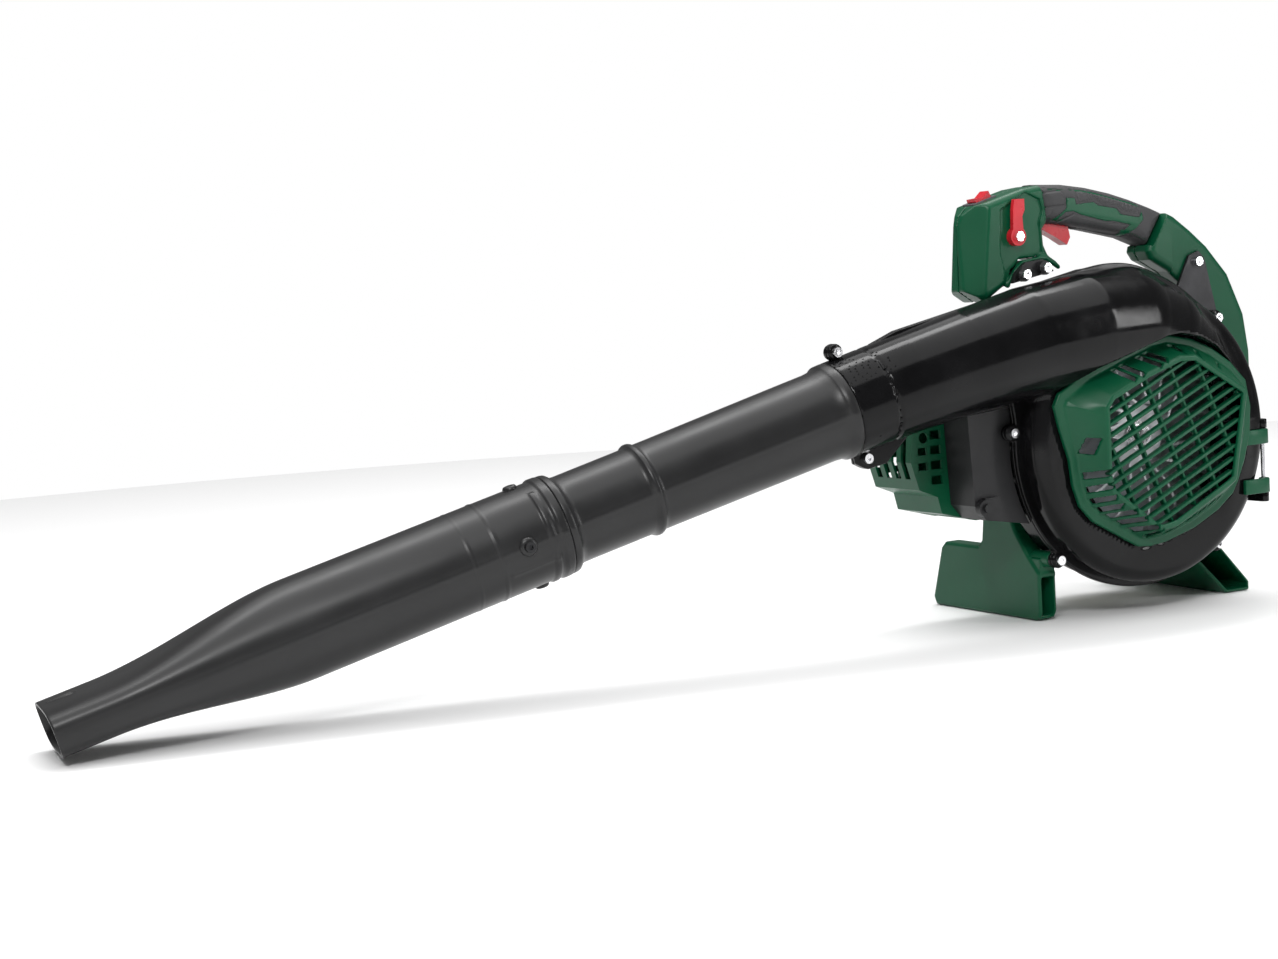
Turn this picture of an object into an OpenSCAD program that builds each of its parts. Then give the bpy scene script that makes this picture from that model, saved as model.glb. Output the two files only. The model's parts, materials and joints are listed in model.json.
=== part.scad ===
// Hand-held petrol leaf blower: two-half fan housing, small two-stroke engine, looped handle, two feet
// and a two-piece blow tube. Millimetres, +Z up, floor at z = 0, the nozzle points to -X.
// Local frame of at_fan(): x runs rearward, y runs up, z runs out of the intake (to -Y), zero at the
// parting plane of the housing on the fan axis. The engine side has negative z.

/* [Fan housing] */
// Outer radius of the round part of the housing
scroll_r = 138; // [132:1:146]
// Outer radius of the blend circle at the outlet of the scroll
rise_r = 104; // [98:1:108]
// Wall thickness of the housing
wall = 3; // [2:0.5:4]
// Width of the parting flange outside the wall
flange_w = 6; // [4:0.5:8]
// Thickness of the flange on each half
flange_t = 4; // [3:0.5:5]
// Depth of the half with the intake
cover_side_depth = 30; // [26:1:34]
// Depth of the half that carries the engine
engine_side_depth = 40; // [36:1:41]
// Radius of the intake opening
intake_r = 92; // [80:1:96]
// Gap between the housing and the floor
floor_gap = 23; // [15:1:40]

/* [Fan] */
// Radius of the fan
fan_r = 112; // [100:1:118]
// Depth of the fan blades
blade_h = 38; // [30:1:40]
// Number of blades
blade_count = 14; // [10:1:18]

/* [Outlet and tube] */
// Downward pitch of the blow tube, in degrees
tube_pitch = 15.6; // [12:0.2:15.8]
// Sideways angle of the blow tube towards the engine, in degrees
tube_yaw = 6; // [0:0.5:8]
// Outside radius of the upper tube at the housing
tube_r = 40; // [36:0.5:42]
// Wall thickness of both tubes
tube_wall = 2.2; // [1.6:0.2:3]
// Radial clearance of the push fits between tube, sleeve and nozzle
tube_clear = 0.2; // [0.1:0.1:0.5]
// Length of the upper tube outside the sleeve
tube_len = 290; // [200:5:320]
// Depth of each push fit
socket_len = 50; // [35:1:60]
// Length of the housing's outlet sleeve
sleeve_len = 72; // [60:1:85]
// Length of the nozzle from its lip to its mouth
nozzle_len = 438; // [360:2:442]
// Width of the nozzle's mouth
mouth_w = 92; // [80:1:100]
// Height of the nozzle's mouth
mouth_h = 39; // [28:1:41]

/* [Intake cover] */
// Half width of the cover at its base
cover_half_w = 112; // [100:1:114]
// Half height of the cover at its base
cover_half_h = 98; // [90:1:102]
// Height of the cover above the housing
cover_rise = 30; // [24:1:34]
// Number of slanted bars
bar_count = 13; // [9:1:17]
// Slope of the bars, in degrees
bar_slope = 24; // [10:1:35]
// Radius of the hinge pin
hinge_pin_r = 2; // [1.5:0.25:2.5]

/* [Handle] */
// Thickness of the handle housing
handle_t = 44; // [38:1:46]
// Thickness of the handle core under the rubber grip
core_t = 30; // [26:1:32]
// Distance of the handle's middle plane behind the parting plane
handle_back = 27; // [26:1:34]
// Thickness of the trigger
trigger_t = 12; // [10:1:14]

/* [Engine] */
// Cylinder bore radius
bore_r = 17; // [15:0.5:18]
// Stroke of the piston
stroke = 28; // [24:1:29]
// Radius of the crankshaft's main journals
shaft_r = 6; // [5:0.5:7]
// Outer radius of the crank bearings
bearing_r = 13; // [12:0.5:14]
// Running clearance of shafts in their bores
run_clear = 0.05; // [0.03:0.01:0.08]
// Radius of the flywheel
flywheel_r = 44; // [40:1:45]
// Outer radius of the starter housing
starter_r = 62; // [60:1:66]

/* [Feet] */
// Width of the front foot across the machine
front_foot_w = 180; // [140:5:190]
// Width of the rear foot across the machine
rear_foot_w = 150; // [120:5:170]
// Thickness of the front foot, front to back
foot_t = 20; // [16:1:24]
// Wall thickness of the feet
foot_wall = 3; // [2:0.5:4]

/* [Fasteners] */
// Radius of the screw shanks
screw_r = 2.5; // [2:0.5:3]
// Radius of the screw heads
head_r = 4.4; // [4:0.2:5]
// Height of the screw heads
head_h = 4.5; // [3:0.5:5]

/* [Hidden] */
$fn = 72;
eps = 0.01;
gap = 0.3;

// Place of the fan axis, so that the origin is under the middle of the whole machine
fan_x = 433;
split_y = -63;
flange_r = scroll_r + flange_w;
axis_z = flange_r + floor_gap;
floor_y = -axis_z;

// Scroll: circles that grow and drift from the fan axis to the outlet
rise_at = [-20, 54];
scroll_steps = 2;

// Outlet: sleeve along the tube, then a cone into the scroll
collar = [-332, 50, 0];
inward = [cos(tube_pitch) * cos(tube_yaw), sin(tube_pitch), cos(tube_pitch) * sin(tube_yaw)];
up_in_plane = [-sin(tube_pitch), cos(tube_pitch), 0];
bend = collar + sleeve_len * inward;
duct_end = [-60, 108, 14];
sleeve_wall = 3.4;
sleeve_r = tube_r + tube_clear + sleeve_wall;
duct_start_r = sleeve_r + 2;
duct_end_r = 53;
shoulder = 10;
clamp_at = 12;
clamp_off = sleeve_r + 6;
lug_r = 8;

// Hinge of the intake cover and seat of the cover
knuckle_r = 5;
hinge_at = [135.5, cover_side_depth - shoulder + knuckle_r + 0.5];
hinge_low = -66;
hinge_top = -4;
ear_h = 9;
cover_z = cover_side_depth + gap;
cover_wall = 3;
window_drop = 34;

// Lugs on the flange, by their angle round the fan axis
function on_flange(a) = (flange_r + 3) * [cos(a), sin(a)];
duct_lug = on_flange(174.5);
front_foot_lug = on_flange(227.5);
rear_foot_lug = on_flange(-50.5);
plate_lug = on_flange(45.5);
flange_lugs = [duct_lug, front_foot_lug, rear_foot_lug, plate_lug];

// Fan and shaft stations along the fan axis
fan_back = -engine_side_depth + wall + 14;
fan_plate_t = 3;
hub_r = 30;
nut_r = 11;
case_z = -engine_side_depth;
case_len = 58;
case_back = case_z - case_len;
chamber_r = 28;
case_r = 36;
web_r = 24;
web_t = 8;
pin_r = 5;
case_wall = 10;
cyl_z = case_z - case_len / 2;
cyl_start = -44;
cyl_end = -112;
head_t = 8;
fin_pitch = 7;
fin_t = 2;
fin_h = 36;
fin_w = 27;
starter_front = case_back - 3;
starter_depth = 44;
starter_back = starter_front - starter_depth;
pulley_groove_r = 24;
rope_r = 1.75;
rope_x = pulley_groove_r + 2;
pulley_z = starter_back + 13;

// Handle middle plane and outlines in the x-y plane of at_fan()
handle_z = -handle_back;
handle_outer = [
  [-170, 143], [-181, 154], [-179, 206], [-174, 216], [-163, 223], [-134, 231], [-112, 237],
  [-88, 240], [-60, 239], [-32, 235], [-4, 229], [20, 222], [43, 214], [66, 204], [86, 190],
  [106, 174], [132, 146], [152, 106], [160, 70], [163, 30], [162, -14]
];
handle_inner = [
  [150, -14], [150, 28], [141, 60], [126, 86], [103, 112], [80, 134], [58, 152], [36, 164],
  [31, 172], [33, 180], [12, 187], [-36, 197], [-86, 205], [-92, 198], [-91, 184], [-86, 174],
  [-74, 165], [-84, 168], [-100, 174], [-120, 172], [-132, 162], [-137, 149]
];
grip_outer = [
  [-92, 240.5], [-88, 240.5], [-60, 239], [-32, 235], [-4, 229], [20, 222], [43, 214], [58, 208],
  [38, 178], [33, 180], [12, 187], [-36, 197], [-87, 205]
];
// The same outline 4 mm further in, run on at both ends
grip_core = [
  [-93, 236], [-60, 235], [-32, 231], [-4, 225], [20, 218], [43, 210], [59, 203.6],
  [39, 181.6], [12, 191], [-36, 201], [-88, 209]
];
trigger_pivot = [-80, 212];
lever_pivot = [-126, 193];
plate_hole = [88, 160];
plate_t = 3;
switch_pivot = [-148, 226];

// ---------- placing ----------
module at_fan(z = 0) translate([fan_x, split_y, axis_z]) rotate([90, 0, 0]) translate([0, 0, z]) children();

// z runs along the tube to the nozzle, x points down, y to the intake side
module at_tube(z = 0)
  at_fan() translate(collar) rotate([-90, 0, 0]) rotate([0, 90 + tube_pitch, 180 - tube_yaw])
    translate([0, 0, z]) children();

module slab(z0, z1) translate([0, 0, z0]) linear_extrude(z1 - z0) children();

module box(x0, x1, y0, y1, z0, z1) translate([x0, y0, z0]) cube([x1 - x0, y1 - y0, z1 - z0]);

module tube_ring(z0, z1, r_out, r_in) {
  translate([0, 0, z0]) difference() {
    cylinder(h = z1 - z0, r = r_out);
    translate([0, 0, -1]) cylinder(h = z1 - z0 + 2, r = r_in);
  }
}

module hex_head(r, h) cylinder(h = h, r = r, $fn = 6);

// Socket-head screw along z: head above z = 0, shank below
module screw(len) {
  difference() {
    cylinder(h = head_h, r = head_r);
    translate([0, 0, head_h - 2]) cylinder(h = 3, r = head_r * 0.5, $fn = 6);
  }
  translate([0, 0, -len]) cylinder(h = len + eps, r = screw_r);
}

// ---------- fan housing ----------
module scroll_outline(extra) {
  for (k = [0 : scroll_steps]) {
    t = k / scroll_steps;
    translate(t * rise_at) circle(r = scroll_r + t * (rise_r - scroll_r) + extra);
  }
}

// Body of the scroll from the parting plane to the given depth, with a stepped shoulder
module scroll_solid(depth, inset) {
  slab(-1, depth - shoulder) scroll_outline(-inset);
  slab(depth - shoulder - 1, depth) scroll_outline(-inset - shoulder);
}

// Points z along the line from p to q
module aim(p, q) {
  d = q - p;
  translate(p) rotate([0, acos(d[2] / norm(d)), atan2(d[1], d[0])]) children();
}

// The outlet cone, which closes in a blunt nose inside the top of the scroll
module duct_cone(inset) aim(bend, duct_end) rotate_extrude() {
  len = norm(duct_end - bend);
  polygon([
    [0, -10], [duct_start_r - inset, -10], [duct_end_r - inset, len], [duct_end_r - 8 - inset, len + 24 - inset],
    [duct_end_r - 24 - inset, len + 44 - inset], [0, len + 52 - inset]
  ]);
}

module sleeve_solid(r, front, back) aim(collar, bend) translate([0, 0, -front]) cylinder(h = front + back, r = r);

// Flange along the duct, in the parting plane
module duct_flange_outline(edge) {
  mid = [(bend[0] + duct_end[0]) / 2, (bend[1] + duct_end[1]) / 2];
  mid_r = (sleeve_r + duct_end_r) / 2;
  polygon([
    [collar[0] - 4, collar[1] + sleeve_r + edge - 2], [bend[0] - 8, bend[1] + sleeve_r + edge],
    [mid[0], mid[1] + mid_r + edge], [duct_end[0] + 30, duct_end[1] + duct_end_r + edge],
    [duct_end[0] + 30, duct_end[1] - duct_end_r - edge], [mid[0], mid[1] - mid_r - edge],
    [bend[0] + 4, bend[1] - sleeve_r - edge], [bend[0] - 20, -6], [collar[0] + 6, 1],
    [collar[0] - 4, collar[1] - sleeve_r]
  ]);
}

function clamp_lug(s) = [for (i = [0, 1]) (collar + clamp_at * inward + s * clamp_off * up_in_plane)[i]];

module clamp_lug_places() for (s = [-1, 1]) translate(clamp_lug(s)) children();

module flange_outline() {
  scroll_outline(flange_w);
  duct_flange_outline(4);
  for (p = flange_lugs) translate(p) circle(r = lug_r);
  clamp_lug_places() circle(r = lug_r);
}

// Air space of the housing, with the seat for the upper tube
module housing_voids() {
  duct_cone(sleeve_wall);
  sleeve_solid(tube_r - 1, 0, sleeve_len + 6);
  sleeve_solid(tube_r + tube_clear, 30, socket_len);
  sleeve_solid(sleeve_r + 0.1, 30, 0);
}

module flange_holes() {
  for (p = flange_lugs) translate([p[0], p[1], -60]) cylinder(h = 120, r = screw_r + 0.1);
  clamp_lug_places() translate([0, 0, -60]) cylinder(h = 120, r = screw_r + 0.1);
}

module hinge_ears() {
  for (y = [hinge_low - ear_h, hinge_top])
    translate([hinge_at[0], y, hinge_at[1]]) rotate([-90, 0, 0]) cylinder(h = ear_h, r = knuckle_r);
  for (y = [hinge_low - ear_h, hinge_top]) {
    box(hinge_at[0] - knuckle_r, hinge_at[0] + knuckle_r, y, y + ear_h, 0, hinge_at[1]);
    box(hinge_at[0] - 26, hinge_at[0] + knuckle_r, y, y + ear_h, 0, flange_t);
  }
}

module volute_left() color([0.05, 0.05, 0.055]) at_fan() difference() {
  union() {
    scroll_solid(cover_side_depth, 0);
    duct_cone(0);
    sleeve_solid(sleeve_r, 0, sleeve_len);
    slab(-1, flange_t) flange_outline();
    hinge_ears();
  }
  scroll_solid(cover_side_depth - wall, wall);
  housing_voids();
  box(-400, 200, -200, 220, -100, 0);
  translate([0, 0, -1]) cylinder(h = 100, r = intake_r);
  flange_holes();
  hinge_bore();
}

module hinge_bore()
  translate([hinge_at[0], hinge_low - 2 * ear_h, hinge_at[1]]) rotate([-90, 0, 0])
    cylinder(h = hinge_top - hinge_low + 4 * ear_h, r = hinge_pin_r + run_clear);

module volute_right() color([0.05, 0.05, 0.055]) at_fan() difference() {
  union() {
    mirror([0, 0, 1]) scroll_solid(engine_side_depth, 0);
    duct_cone(0);
    sleeve_solid(sleeve_r, 0, sleeve_len);
    slab(-flange_t, 1) flange_outline();
  }
  mirror([0, 0, 1]) scroll_solid(engine_side_depth - wall, wall);
  housing_voids();
  box(-400, 200, -200, 220, 0, 100);
  box(-400, 200, -200, 220, -100, -engine_side_depth);
  translate([0, 0, -60]) cylinder(h = 50, r = shaft_r + 3);
  flange_holes();
}

// ---------- intake cover ----------

// Six-sided outline with its long corners to the front and rear
module cover_outline(half_w, half_h) {
  polygon([
    [-half_w, 0.06 * half_h], [-0.5 * half_w, 0.66 * half_h], [0.1 * half_w, half_h],
    [0.62 * half_w, 0.92 * half_h], [half_w, 0.42 * half_h], [half_w, -0.5 * half_h],
    [0.68 * half_w, -0.8 * half_h], [-0.1 * half_w, -half_h], [-0.44 * half_w, -0.98 * half_h],
    [-0.86 * half_w, -0.55 * half_h]
  ]);
}

module cover_form(inset, rise) {
  hull() {
    slab(0, 6) cover_outline(cover_half_w - inset, cover_half_h - inset);
    slab(rise - 2, rise) cover_outline(cover_half_w - window_drop - inset + 8, cover_half_h - window_drop - inset + 14);
  }
}

module window_outline() cover_outline(cover_half_w - window_drop, cover_half_h - window_drop + 6);

module cover_bars() {
  bar_pitch = 2 * cover_half_h / (bar_count + 1);
  bar_t = 3;
  intersection() {
    slab(cover_rise - 9, cover_rise - 2) window_outline();
    union() {
      for (k = [-bar_count : bar_count])
        rotate([0, 0, bar_slope]) translate([-200, k * bar_pitch * 0.72 - bar_t / 2, 0]) cube([400, bar_t, 100]);
      for (k = [-2 : 2])
        rotate([0, 0, bar_slope - 90]) translate([-200, k * 38 - 1, 0]) cube([400, 2, 100]);
    }
  }
}

module intake_cover() color([0, 0.29, 0.17]) at_fan(cover_z) difference() {
  union() {
    difference() {
      cover_form(0, cover_rise);
      translate([0, 0, -eps]) cover_form(cover_wall, cover_rise - cover_wall);
      slab(-1, cover_rise + 1) window_outline();
    }
    cover_bars();
    // hinge arm and knuckle
    box(cover_half_w - 4, hinge_at[0], hinge_low + gap, hinge_top - gap, 0.5, 5.5);
    box(hinge_at[0] - knuckle_r, hinge_at[0] + knuckle_r, hinge_low + gap, hinge_top - gap,
        hinge_at[1] - cover_z, 5.5);
    translate([hinge_at[0], hinge_low + gap, hinge_at[1] - cover_z]) rotate([-90, 0, 0])
      cylinder(h = hinge_top - hinge_low - 2 * gap, r = knuckle_r);
  }
  translate([0, 0, -cover_z]) hinge_bore();
  // louvre slots in the sloping rim
  for (k = [0 : 6])
    translate([-76 + 7 * k, -32 - 9.5 * k, 8]) rotate([0, 0, bar_slope - 6]) cube([22, 5, 60], center = true);
  for (k = [0 : 3])
    translate([-44 + 9 * k + 22 * floor(k / 2), 74 + 4 * k + 4 * floor(k / 2), 8])
      rotate([0, 0, bar_slope]) cube([4, 18, 60], center = true);
  for (k = [0 : 6])
    translate([4 + 12 * k, -94 + 3.4 * k, 8]) rotate([0, 0, bar_slope]) cube([5, 9, 60], center = true);
}

module cover_hinge_pin() color([0.7, 0.7, 0.72]) at_fan()
  translate([hinge_at[0], hinge_low - ear_h, hinge_at[1]]) rotate([-90, 0, 0])
    cylinder(h = hinge_top - hinge_low + 2 * ear_h, r = hinge_pin_r);

// ---------- fan and crank ----------
module fan() color([0.72, 0.73, 0.75]) at_fan(fan_back) difference() {
  union() {
    cylinder(h = fan_plate_t, r = fan_r);
    cylinder(h = 26, r = hub_r);
    for (k = [0 : blade_count - 1])
      rotate([0, 0, k * 360 / blade_count]) intersection() {
        difference() {
          translate([fan_r * 0.62, -34, 0]) cylinder(h = blade_h, r = 52);
          translate([fan_r * 0.62, -34, -1]) cylinder(h = blade_h + 2, r = 49.6);
          translate([-200, -300, -1]) cube([400, 300, blade_h + 2]);
        }
        difference() {
          cylinder(h = blade_h, r = fan_r - 1);
          translate([0, 0, -1]) cylinder(h = blade_h + 2, r = hub_r - 2);
        }
      }
  }
  translate([0, 0, -1]) cylinder(h = 60, r = shaft_r);
}

fan_nut_z = fan_back + 26;

module fan_nut() color([0.75, 0.75, 0.78]) at_fan(fan_nut_z) difference() {
  union() {
    cylinder(h = 2, r = nut_r + 3);
    hex_head(nut_r, 9);
  }
  translate([0, 0, -1]) cylinder(h = 20, r = shaft_r);
}

shaft_front = fan_nut_z + 12;
shaft_back = starter_front - 23;
web_gap = 16;

module crankshaft() color([0.6, 0.6, 0.62]) at_fan() {
  translate([0, 0, cyl_z + web_gap / 2]) cylinder(h = shaft_front - cyl_z - web_gap / 2, r = shaft_r);
  translate([0, 0, shaft_back]) cylinder(h = cyl_z - web_gap / 2 - shaft_back, r = shaft_r);
  translate([0, 0, cyl_z + web_gap / 2]) cylinder(h = web_t, r = web_r);
  translate([0, 0, cyl_z - web_gap / 2 - web_t]) cylinder(h = web_t, r = web_r);
  translate([-stroke / 2, 0, cyl_z - web_gap / 2 - eps]) cylinder(h = web_gap + 2 * eps, r = pin_r);
}

bearing_t = 8;

module crank_bearings() color([0.8, 0.8, 0.82]) at_fan() {
  tube_ring(case_z - case_wall, case_z - case_wall + bearing_t, bearing_r, shaft_r + run_clear);
  tube_ring(case_back, case_back + bearing_t, bearing_r, shaft_r + run_clear);
}

arm_r = 56;

module crankcase() color([0.62, 0.63, 0.65]) at_fan() difference() {
  union() {
    translate([0, 0, case_back]) cylinder(h = case_len, r = case_r);
    translate([0, 0, case_z - 6]) cylinder(h = 6, r = case_r + 7);
    box(cyl_start, 0, -30, 30, case_back, case_z - 6);
    box(0, case_r, -16, 16, cyl_z - 16, cyl_z + 16);
    // arms that carry the starter housing and the coil
    for (a = [45, 135, 225, 315])
      rotate([0, 0, a]) {
        box(0, arm_r, -6, 6, case_back, case_back + 6);
        translate([arm_r, 0, starter_front]) cylinder(h = case_back + 6 - starter_front, r = 6);
      }
    box(-8, 8, 0, 57, case_back, case_back + 6);
  }
  translate([0, 0, case_back + bearing_t]) cylinder(h = case_len - bearing_t - case_wall, r = chamber_r);
  translate([0, 0, case_back - 1]) cylinder(h = bearing_t + 2, r = bearing_r);
  translate([0, 0, case_z - case_wall - 1]) cylinder(h = bearing_t + 1, r = bearing_r);
  translate([0, 0, case_z - 4]) cylinder(h = 10, r = shaft_r + 1);
  // openings to the cylinder and to the reed block
  translate([cyl_start - 1, 0, cyl_z]) rotate([0, 90, 0]) cylinder(h = 40, r = bore_r + run_clear);
  translate([20, 0, cyl_z]) rotate([0, 90, 0]) cylinder(h = 30, r = 9);
}

module cylinder_body_void() {
  translate([cyl_end + head_t, 0, cyl_z]) rotate([0, 90, 0])
    cylinder(h = cyl_start - cyl_end, r = bore_r + run_clear);
  translate([cyl_end - 1, 0, cyl_z]) rotate([0, 90, 0]) cylinder(h = head_t + 2, r = 7);
}

module cylinder_block() difference() {
  union() {
    translate([cyl_end, 0, cyl_z]) rotate([0, 90, 0]) cylinder(h = cyl_start - cyl_end, r = bore_r + 7);
    box(cyl_start - 6, cyl_start, -29, 29, cyl_z - fin_w, cyl_z + fin_w);
    for (x = [cyl_end : fin_pitch : cyl_start - 12])
      box(x, x + fin_t, -fin_h, fin_h, cyl_z - fin_w, cyl_z + fin_w);
    // exhaust port boss
    translate([-80, 0, cyl_z]) rotate([-90, 0, 0]) cylinder(h = fin_h + 1, r = 12);
  }
  cylinder_body_void();
  translate([-80, 0, cyl_z]) rotate([-90, 0, 0]) cylinder(h = 60, r = 8);
}

module cylinder_node() color([0.7, 0.71, 0.73]) at_fan() cylinder_block();

module piston() color([0.8, 0.8, 0.82]) at_fan() translate([cyl_end + head_t + 4, 0, cyl_z]) rotate([0, 90, 0])
  difference() {
    cylinder(h = 24, r = bore_r);
    translate([0, 0, 5]) cylinder(h = 30, r = bore_r - 4);
  }

module spark_plug() color([0.9, 0.9, 0.88]) at_fan() translate([cyl_end, 0, cyl_z]) rotate([0, -90, 0]) {
  translate([0, 0, -head_t + 1]) cylinder(h = head_t - 1 + eps, r = 7);
  hex_head(10, 8);
  translate([0, 0, 8 - eps]) cylinder(h = 20, r = 5);
}

module plug_cap() color([0.08, 0.08, 0.08]) at_fan() translate([cyl_end - 12, 0, cyl_z]) rotate([0, -90, 0])
  difference() {
    union() {
      cylinder(h = 26, r = 8.5);
      translate([0, 0, 18]) rotate([0, 90, 0]) cylinder(h = 18, r = 6);
    }
    translate([0, 0, -1]) cylinder(h = 18, r = 5 + run_clear);
  }

flywheel_t = 12;

module flywheel() color([0.65, 0.66, 0.68]) at_fan(starter_front - 3 - flywheel_t) difference() {
  union() {
    cylinder(h = flywheel_t, r = flywheel_r);
  }
  for (a = [30 : 60 : 330]) rotate([0, 0, a]) translate([flywheel_r * 0.62, 0, -1]) cylinder(h = 20, r = 7);
  translate([0, 0, -1]) cylinder(h = 20, r = shaft_r);
}

module ignition_coil() color([0.1, 0.1, 0.1]) at_fan() {
  box(-14, 14, flywheel_r + 0.8, 57, starter_front - 14, starter_front - 2);
  box(-7, 7, 48, 57, starter_front - 2 - eps, case_back);
}

module starter_cup() color([0.55, 0.56, 0.58]) at_fan(starter_front - 3 - flywheel_t - 6) difference() {
  union() {
    cylinder(h = 6, r = 15);
    for (s = [0, 180]) rotate([0, 0, s]) translate([11, 0, 0]) cylinder(h = 6, r = 6);
  }
  translate([0, 0, -1]) cylinder(h = 20, r = shaft_r);
}

// ---------- starter ----------
post_r = 5;
starter_wall = 2.6;

module starter_housing() color([0.06, 0.06, 0.065]) at_fan() difference() {
  union() {
    difference() {
      translate([0, 0, starter_back]) cylinder(h = starter_depth, r = starter_r);
      translate([0, 0, starter_back + starter_wall]) cylinder(h = starter_depth, r = starter_r - starter_wall);
    }
    translate([0, 0, starter_back + 1]) cylinder(h = starter_depth - flywheel_t - 12, r = post_r);
    for (a = [45, 135, 225, 315])
      rotate([0, 0, a]) box(arm_r - 9, arm_r, -5, 5, starter_back + 1, starter_front);
    translate([rope_x, starter_r - 15, pulley_z]) rotate([-90, 0, 0]) cylinder(h = 16, r = 6);
  }
  // louvres in the end wall
  for (a = [0 : 30 : 330])
    rotate([0, 0, a]) box(34, 52, -2.5, 2.5, starter_back - 1, starter_back + 4);
  translate([rope_x, 0, pulley_z]) rotate([-90, 0, 0]) cylinder(h = 100, r = rope_r + 0.8);
}

module starter_pulley() color([0.9, 0.9, 0.85]) at_fan(pulley_z) difference() {
  union() {
    translate([0, 0, -5]) cylinder(h = 10, r = pulley_groove_r);
    for (z = [-5, 2.6]) translate([0, 0, z]) cylinder(h = 2.4, r = pulley_groove_r + 6);
  }
  translate([0, 0, -10]) cylinder(h = 20, r = post_r + run_clear);
}

rope_low = -50;
grip_y = starter_r + 4;

module starter_rope() color([0.85, 0.85, 0.82]) at_fan() translate([rope_x, rope_low, pulley_z]) rotate([-90, 0, 0])
  cylinder(h = grip_y - rope_low, r = rope_r);

module starter_grip() color([0.1, 0.1, 0.1]) at_fan() translate([rope_x, grip_y, pulley_z]) {
  rotate([-90, 0, 0]) cylinder(h = 9, r = 6);
  translate([-22, 12, 0]) rotate([0, 90, 0]) cylinder(h = 44, r = 7);
  for (s = [-1, 1]) translate([s * 22, 12, 0]) sphere(r = 7);
}

// ---------- fuel and air ----------
carb_x = 50;
carb_len = 32;
base_x = carb_x + carb_len;

module reed_block() color([0.15, 0.15, 0.16]) at_fan() difference() {
  box(case_r, carb_x, -18, 18, cyl_z - 18, cyl_z + 18);
  translate([0, 0, cyl_z]) rotate([0, 90, 0]) cylinder(h = 100, r = 9);
}

module carburettor() color([0.68, 0.68, 0.66]) at_fan() difference() {
  union() {
    box(carb_x, base_x, -17, 17, cyl_z - 18, cyl_z + 17);
    translate([carb_x + 16, 17 - eps, cyl_z]) rotate([-90, 0, 0]) cylinder(h = 3, r = 6);
    translate([carb_x + 20, -5, cyl_z - 21]) cylinder(h = 3 + eps, r = 11);
  }
  translate([0, 0, cyl_z]) rotate([0, 90, 0]) cylinder(h = 120, r = 9);
  translate([carb_x + 16, 8, cyl_z]) rotate([-90, 0, 0]) cylinder(h = 20, r = 2 + run_clear);
}

module throttle_lever() color([0.75, 0.75, 0.78]) at_fan() translate([carb_x + 16, 0, cyl_z]) {
  translate([0, 10, 0]) rotate([-90, 0, 0]) cylinder(h = 14, r = 2);
  translate([0, 20.3, 0]) rotate([-90, 0, 0]) cylinder(h = 3, r = 5);
  box(0, 4, 20.3, 23.3, -14, 0);
}

bulb_x = carb_x + 20;
bulb_travel = 5;

module primer_bulb() color([0.75, 0.2, 0.15, 0.8]) at_fan() translate([bulb_x, -5, cyl_z - 21 - bulb_travel - gap])
  mirror([0, 0, 1]) {
    cylinder(h = 2, r = 9);
    translate([0, 0, 2]) intersection() {
      sphere(r = 8);
      translate([-10, -10, -eps]) cube([20, 20, 20]);
    }
  }

base_t = 8;

module air_filter_base() color([0.08, 0.08, 0.085]) at_fan() difference() {
  union() {
    box(base_x, base_x + base_t, -34, 40, cyl_z - 42, cyl_z + 20);
    box(base_x, base_x + base_t, 38, 56, cyl_z - 8, cyl_z + 8);
  }
  translate([base_x - 1, 0, cyl_z]) rotate([0, 90, 0]) cylinder(h = 20, r = 9);
  translate([base_x - 1, 48, cyl_z]) rotate([0, 90, 0]) cylinder(h = 20, r = 2 + run_clear);
}

module choke_lever() color([0.9, 0.35, 0.05]) at_fan() translate([base_x, 48, cyl_z]) rotate([0, 90, 0]) {
  cylinder(h = base_t + gap + eps, r = 2);
  translate([0, 0, base_t + gap]) cylinder(h = 3, r = 6);
  translate([-20, -4, base_t + gap]) cube([20, 8, 3]);
}

filter_depth = 34;

module air_filter_element() color([0.25, 0.27, 0.25]) at_fan() difference() {
  box(base_x + base_t, base_x + base_t + 14, -26, 32, cyl_z - 34, cyl_z + 12);
  translate([0, 3, cyl_z - 11]) rotate([0, 90, 0]) cylinder(h = 200, r = 6);
}

module air_filter_cover() color([0.08, 0.08, 0.085]) at_fan() difference() {
  box(base_x + base_t, base_x + base_t + filter_depth, -34, 40, cyl_z - 42, cyl_z + 20);
  box(base_x + base_t - 1, base_x + base_t + filter_depth - 3, -31, 37, cyl_z - 39, cyl_z + 17);
  translate([0, 3, cyl_z - 11]) rotate([0, 90, 0]) cylinder(h = 200, r = 3.1);
  for (k = [0 : 4]) box(base_x + base_t + 8, base_x + base_t + 28, 30, 50, cyl_z - 36 + 10 * k, cyl_z - 32 + 10 * k);
}

module filter_knob() color([0.08, 0.08, 0.085]) at_fan() translate([0, 3, cyl_z - 11]) rotate([0, 90, 0]) {
  translate([0, 0, base_x + base_t]) cylinder(h = filter_depth + 1, r = 3);
  translate([0, 0, base_x + base_t + filter_depth]) cylinder(h = 8, r = 12);
}

tank_x = [-34, 78];
tank_y = [floor_y + 40, -64];
tank_z = [case_z - 84, case_z - 8];
cap_at = [36, -96];

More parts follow.
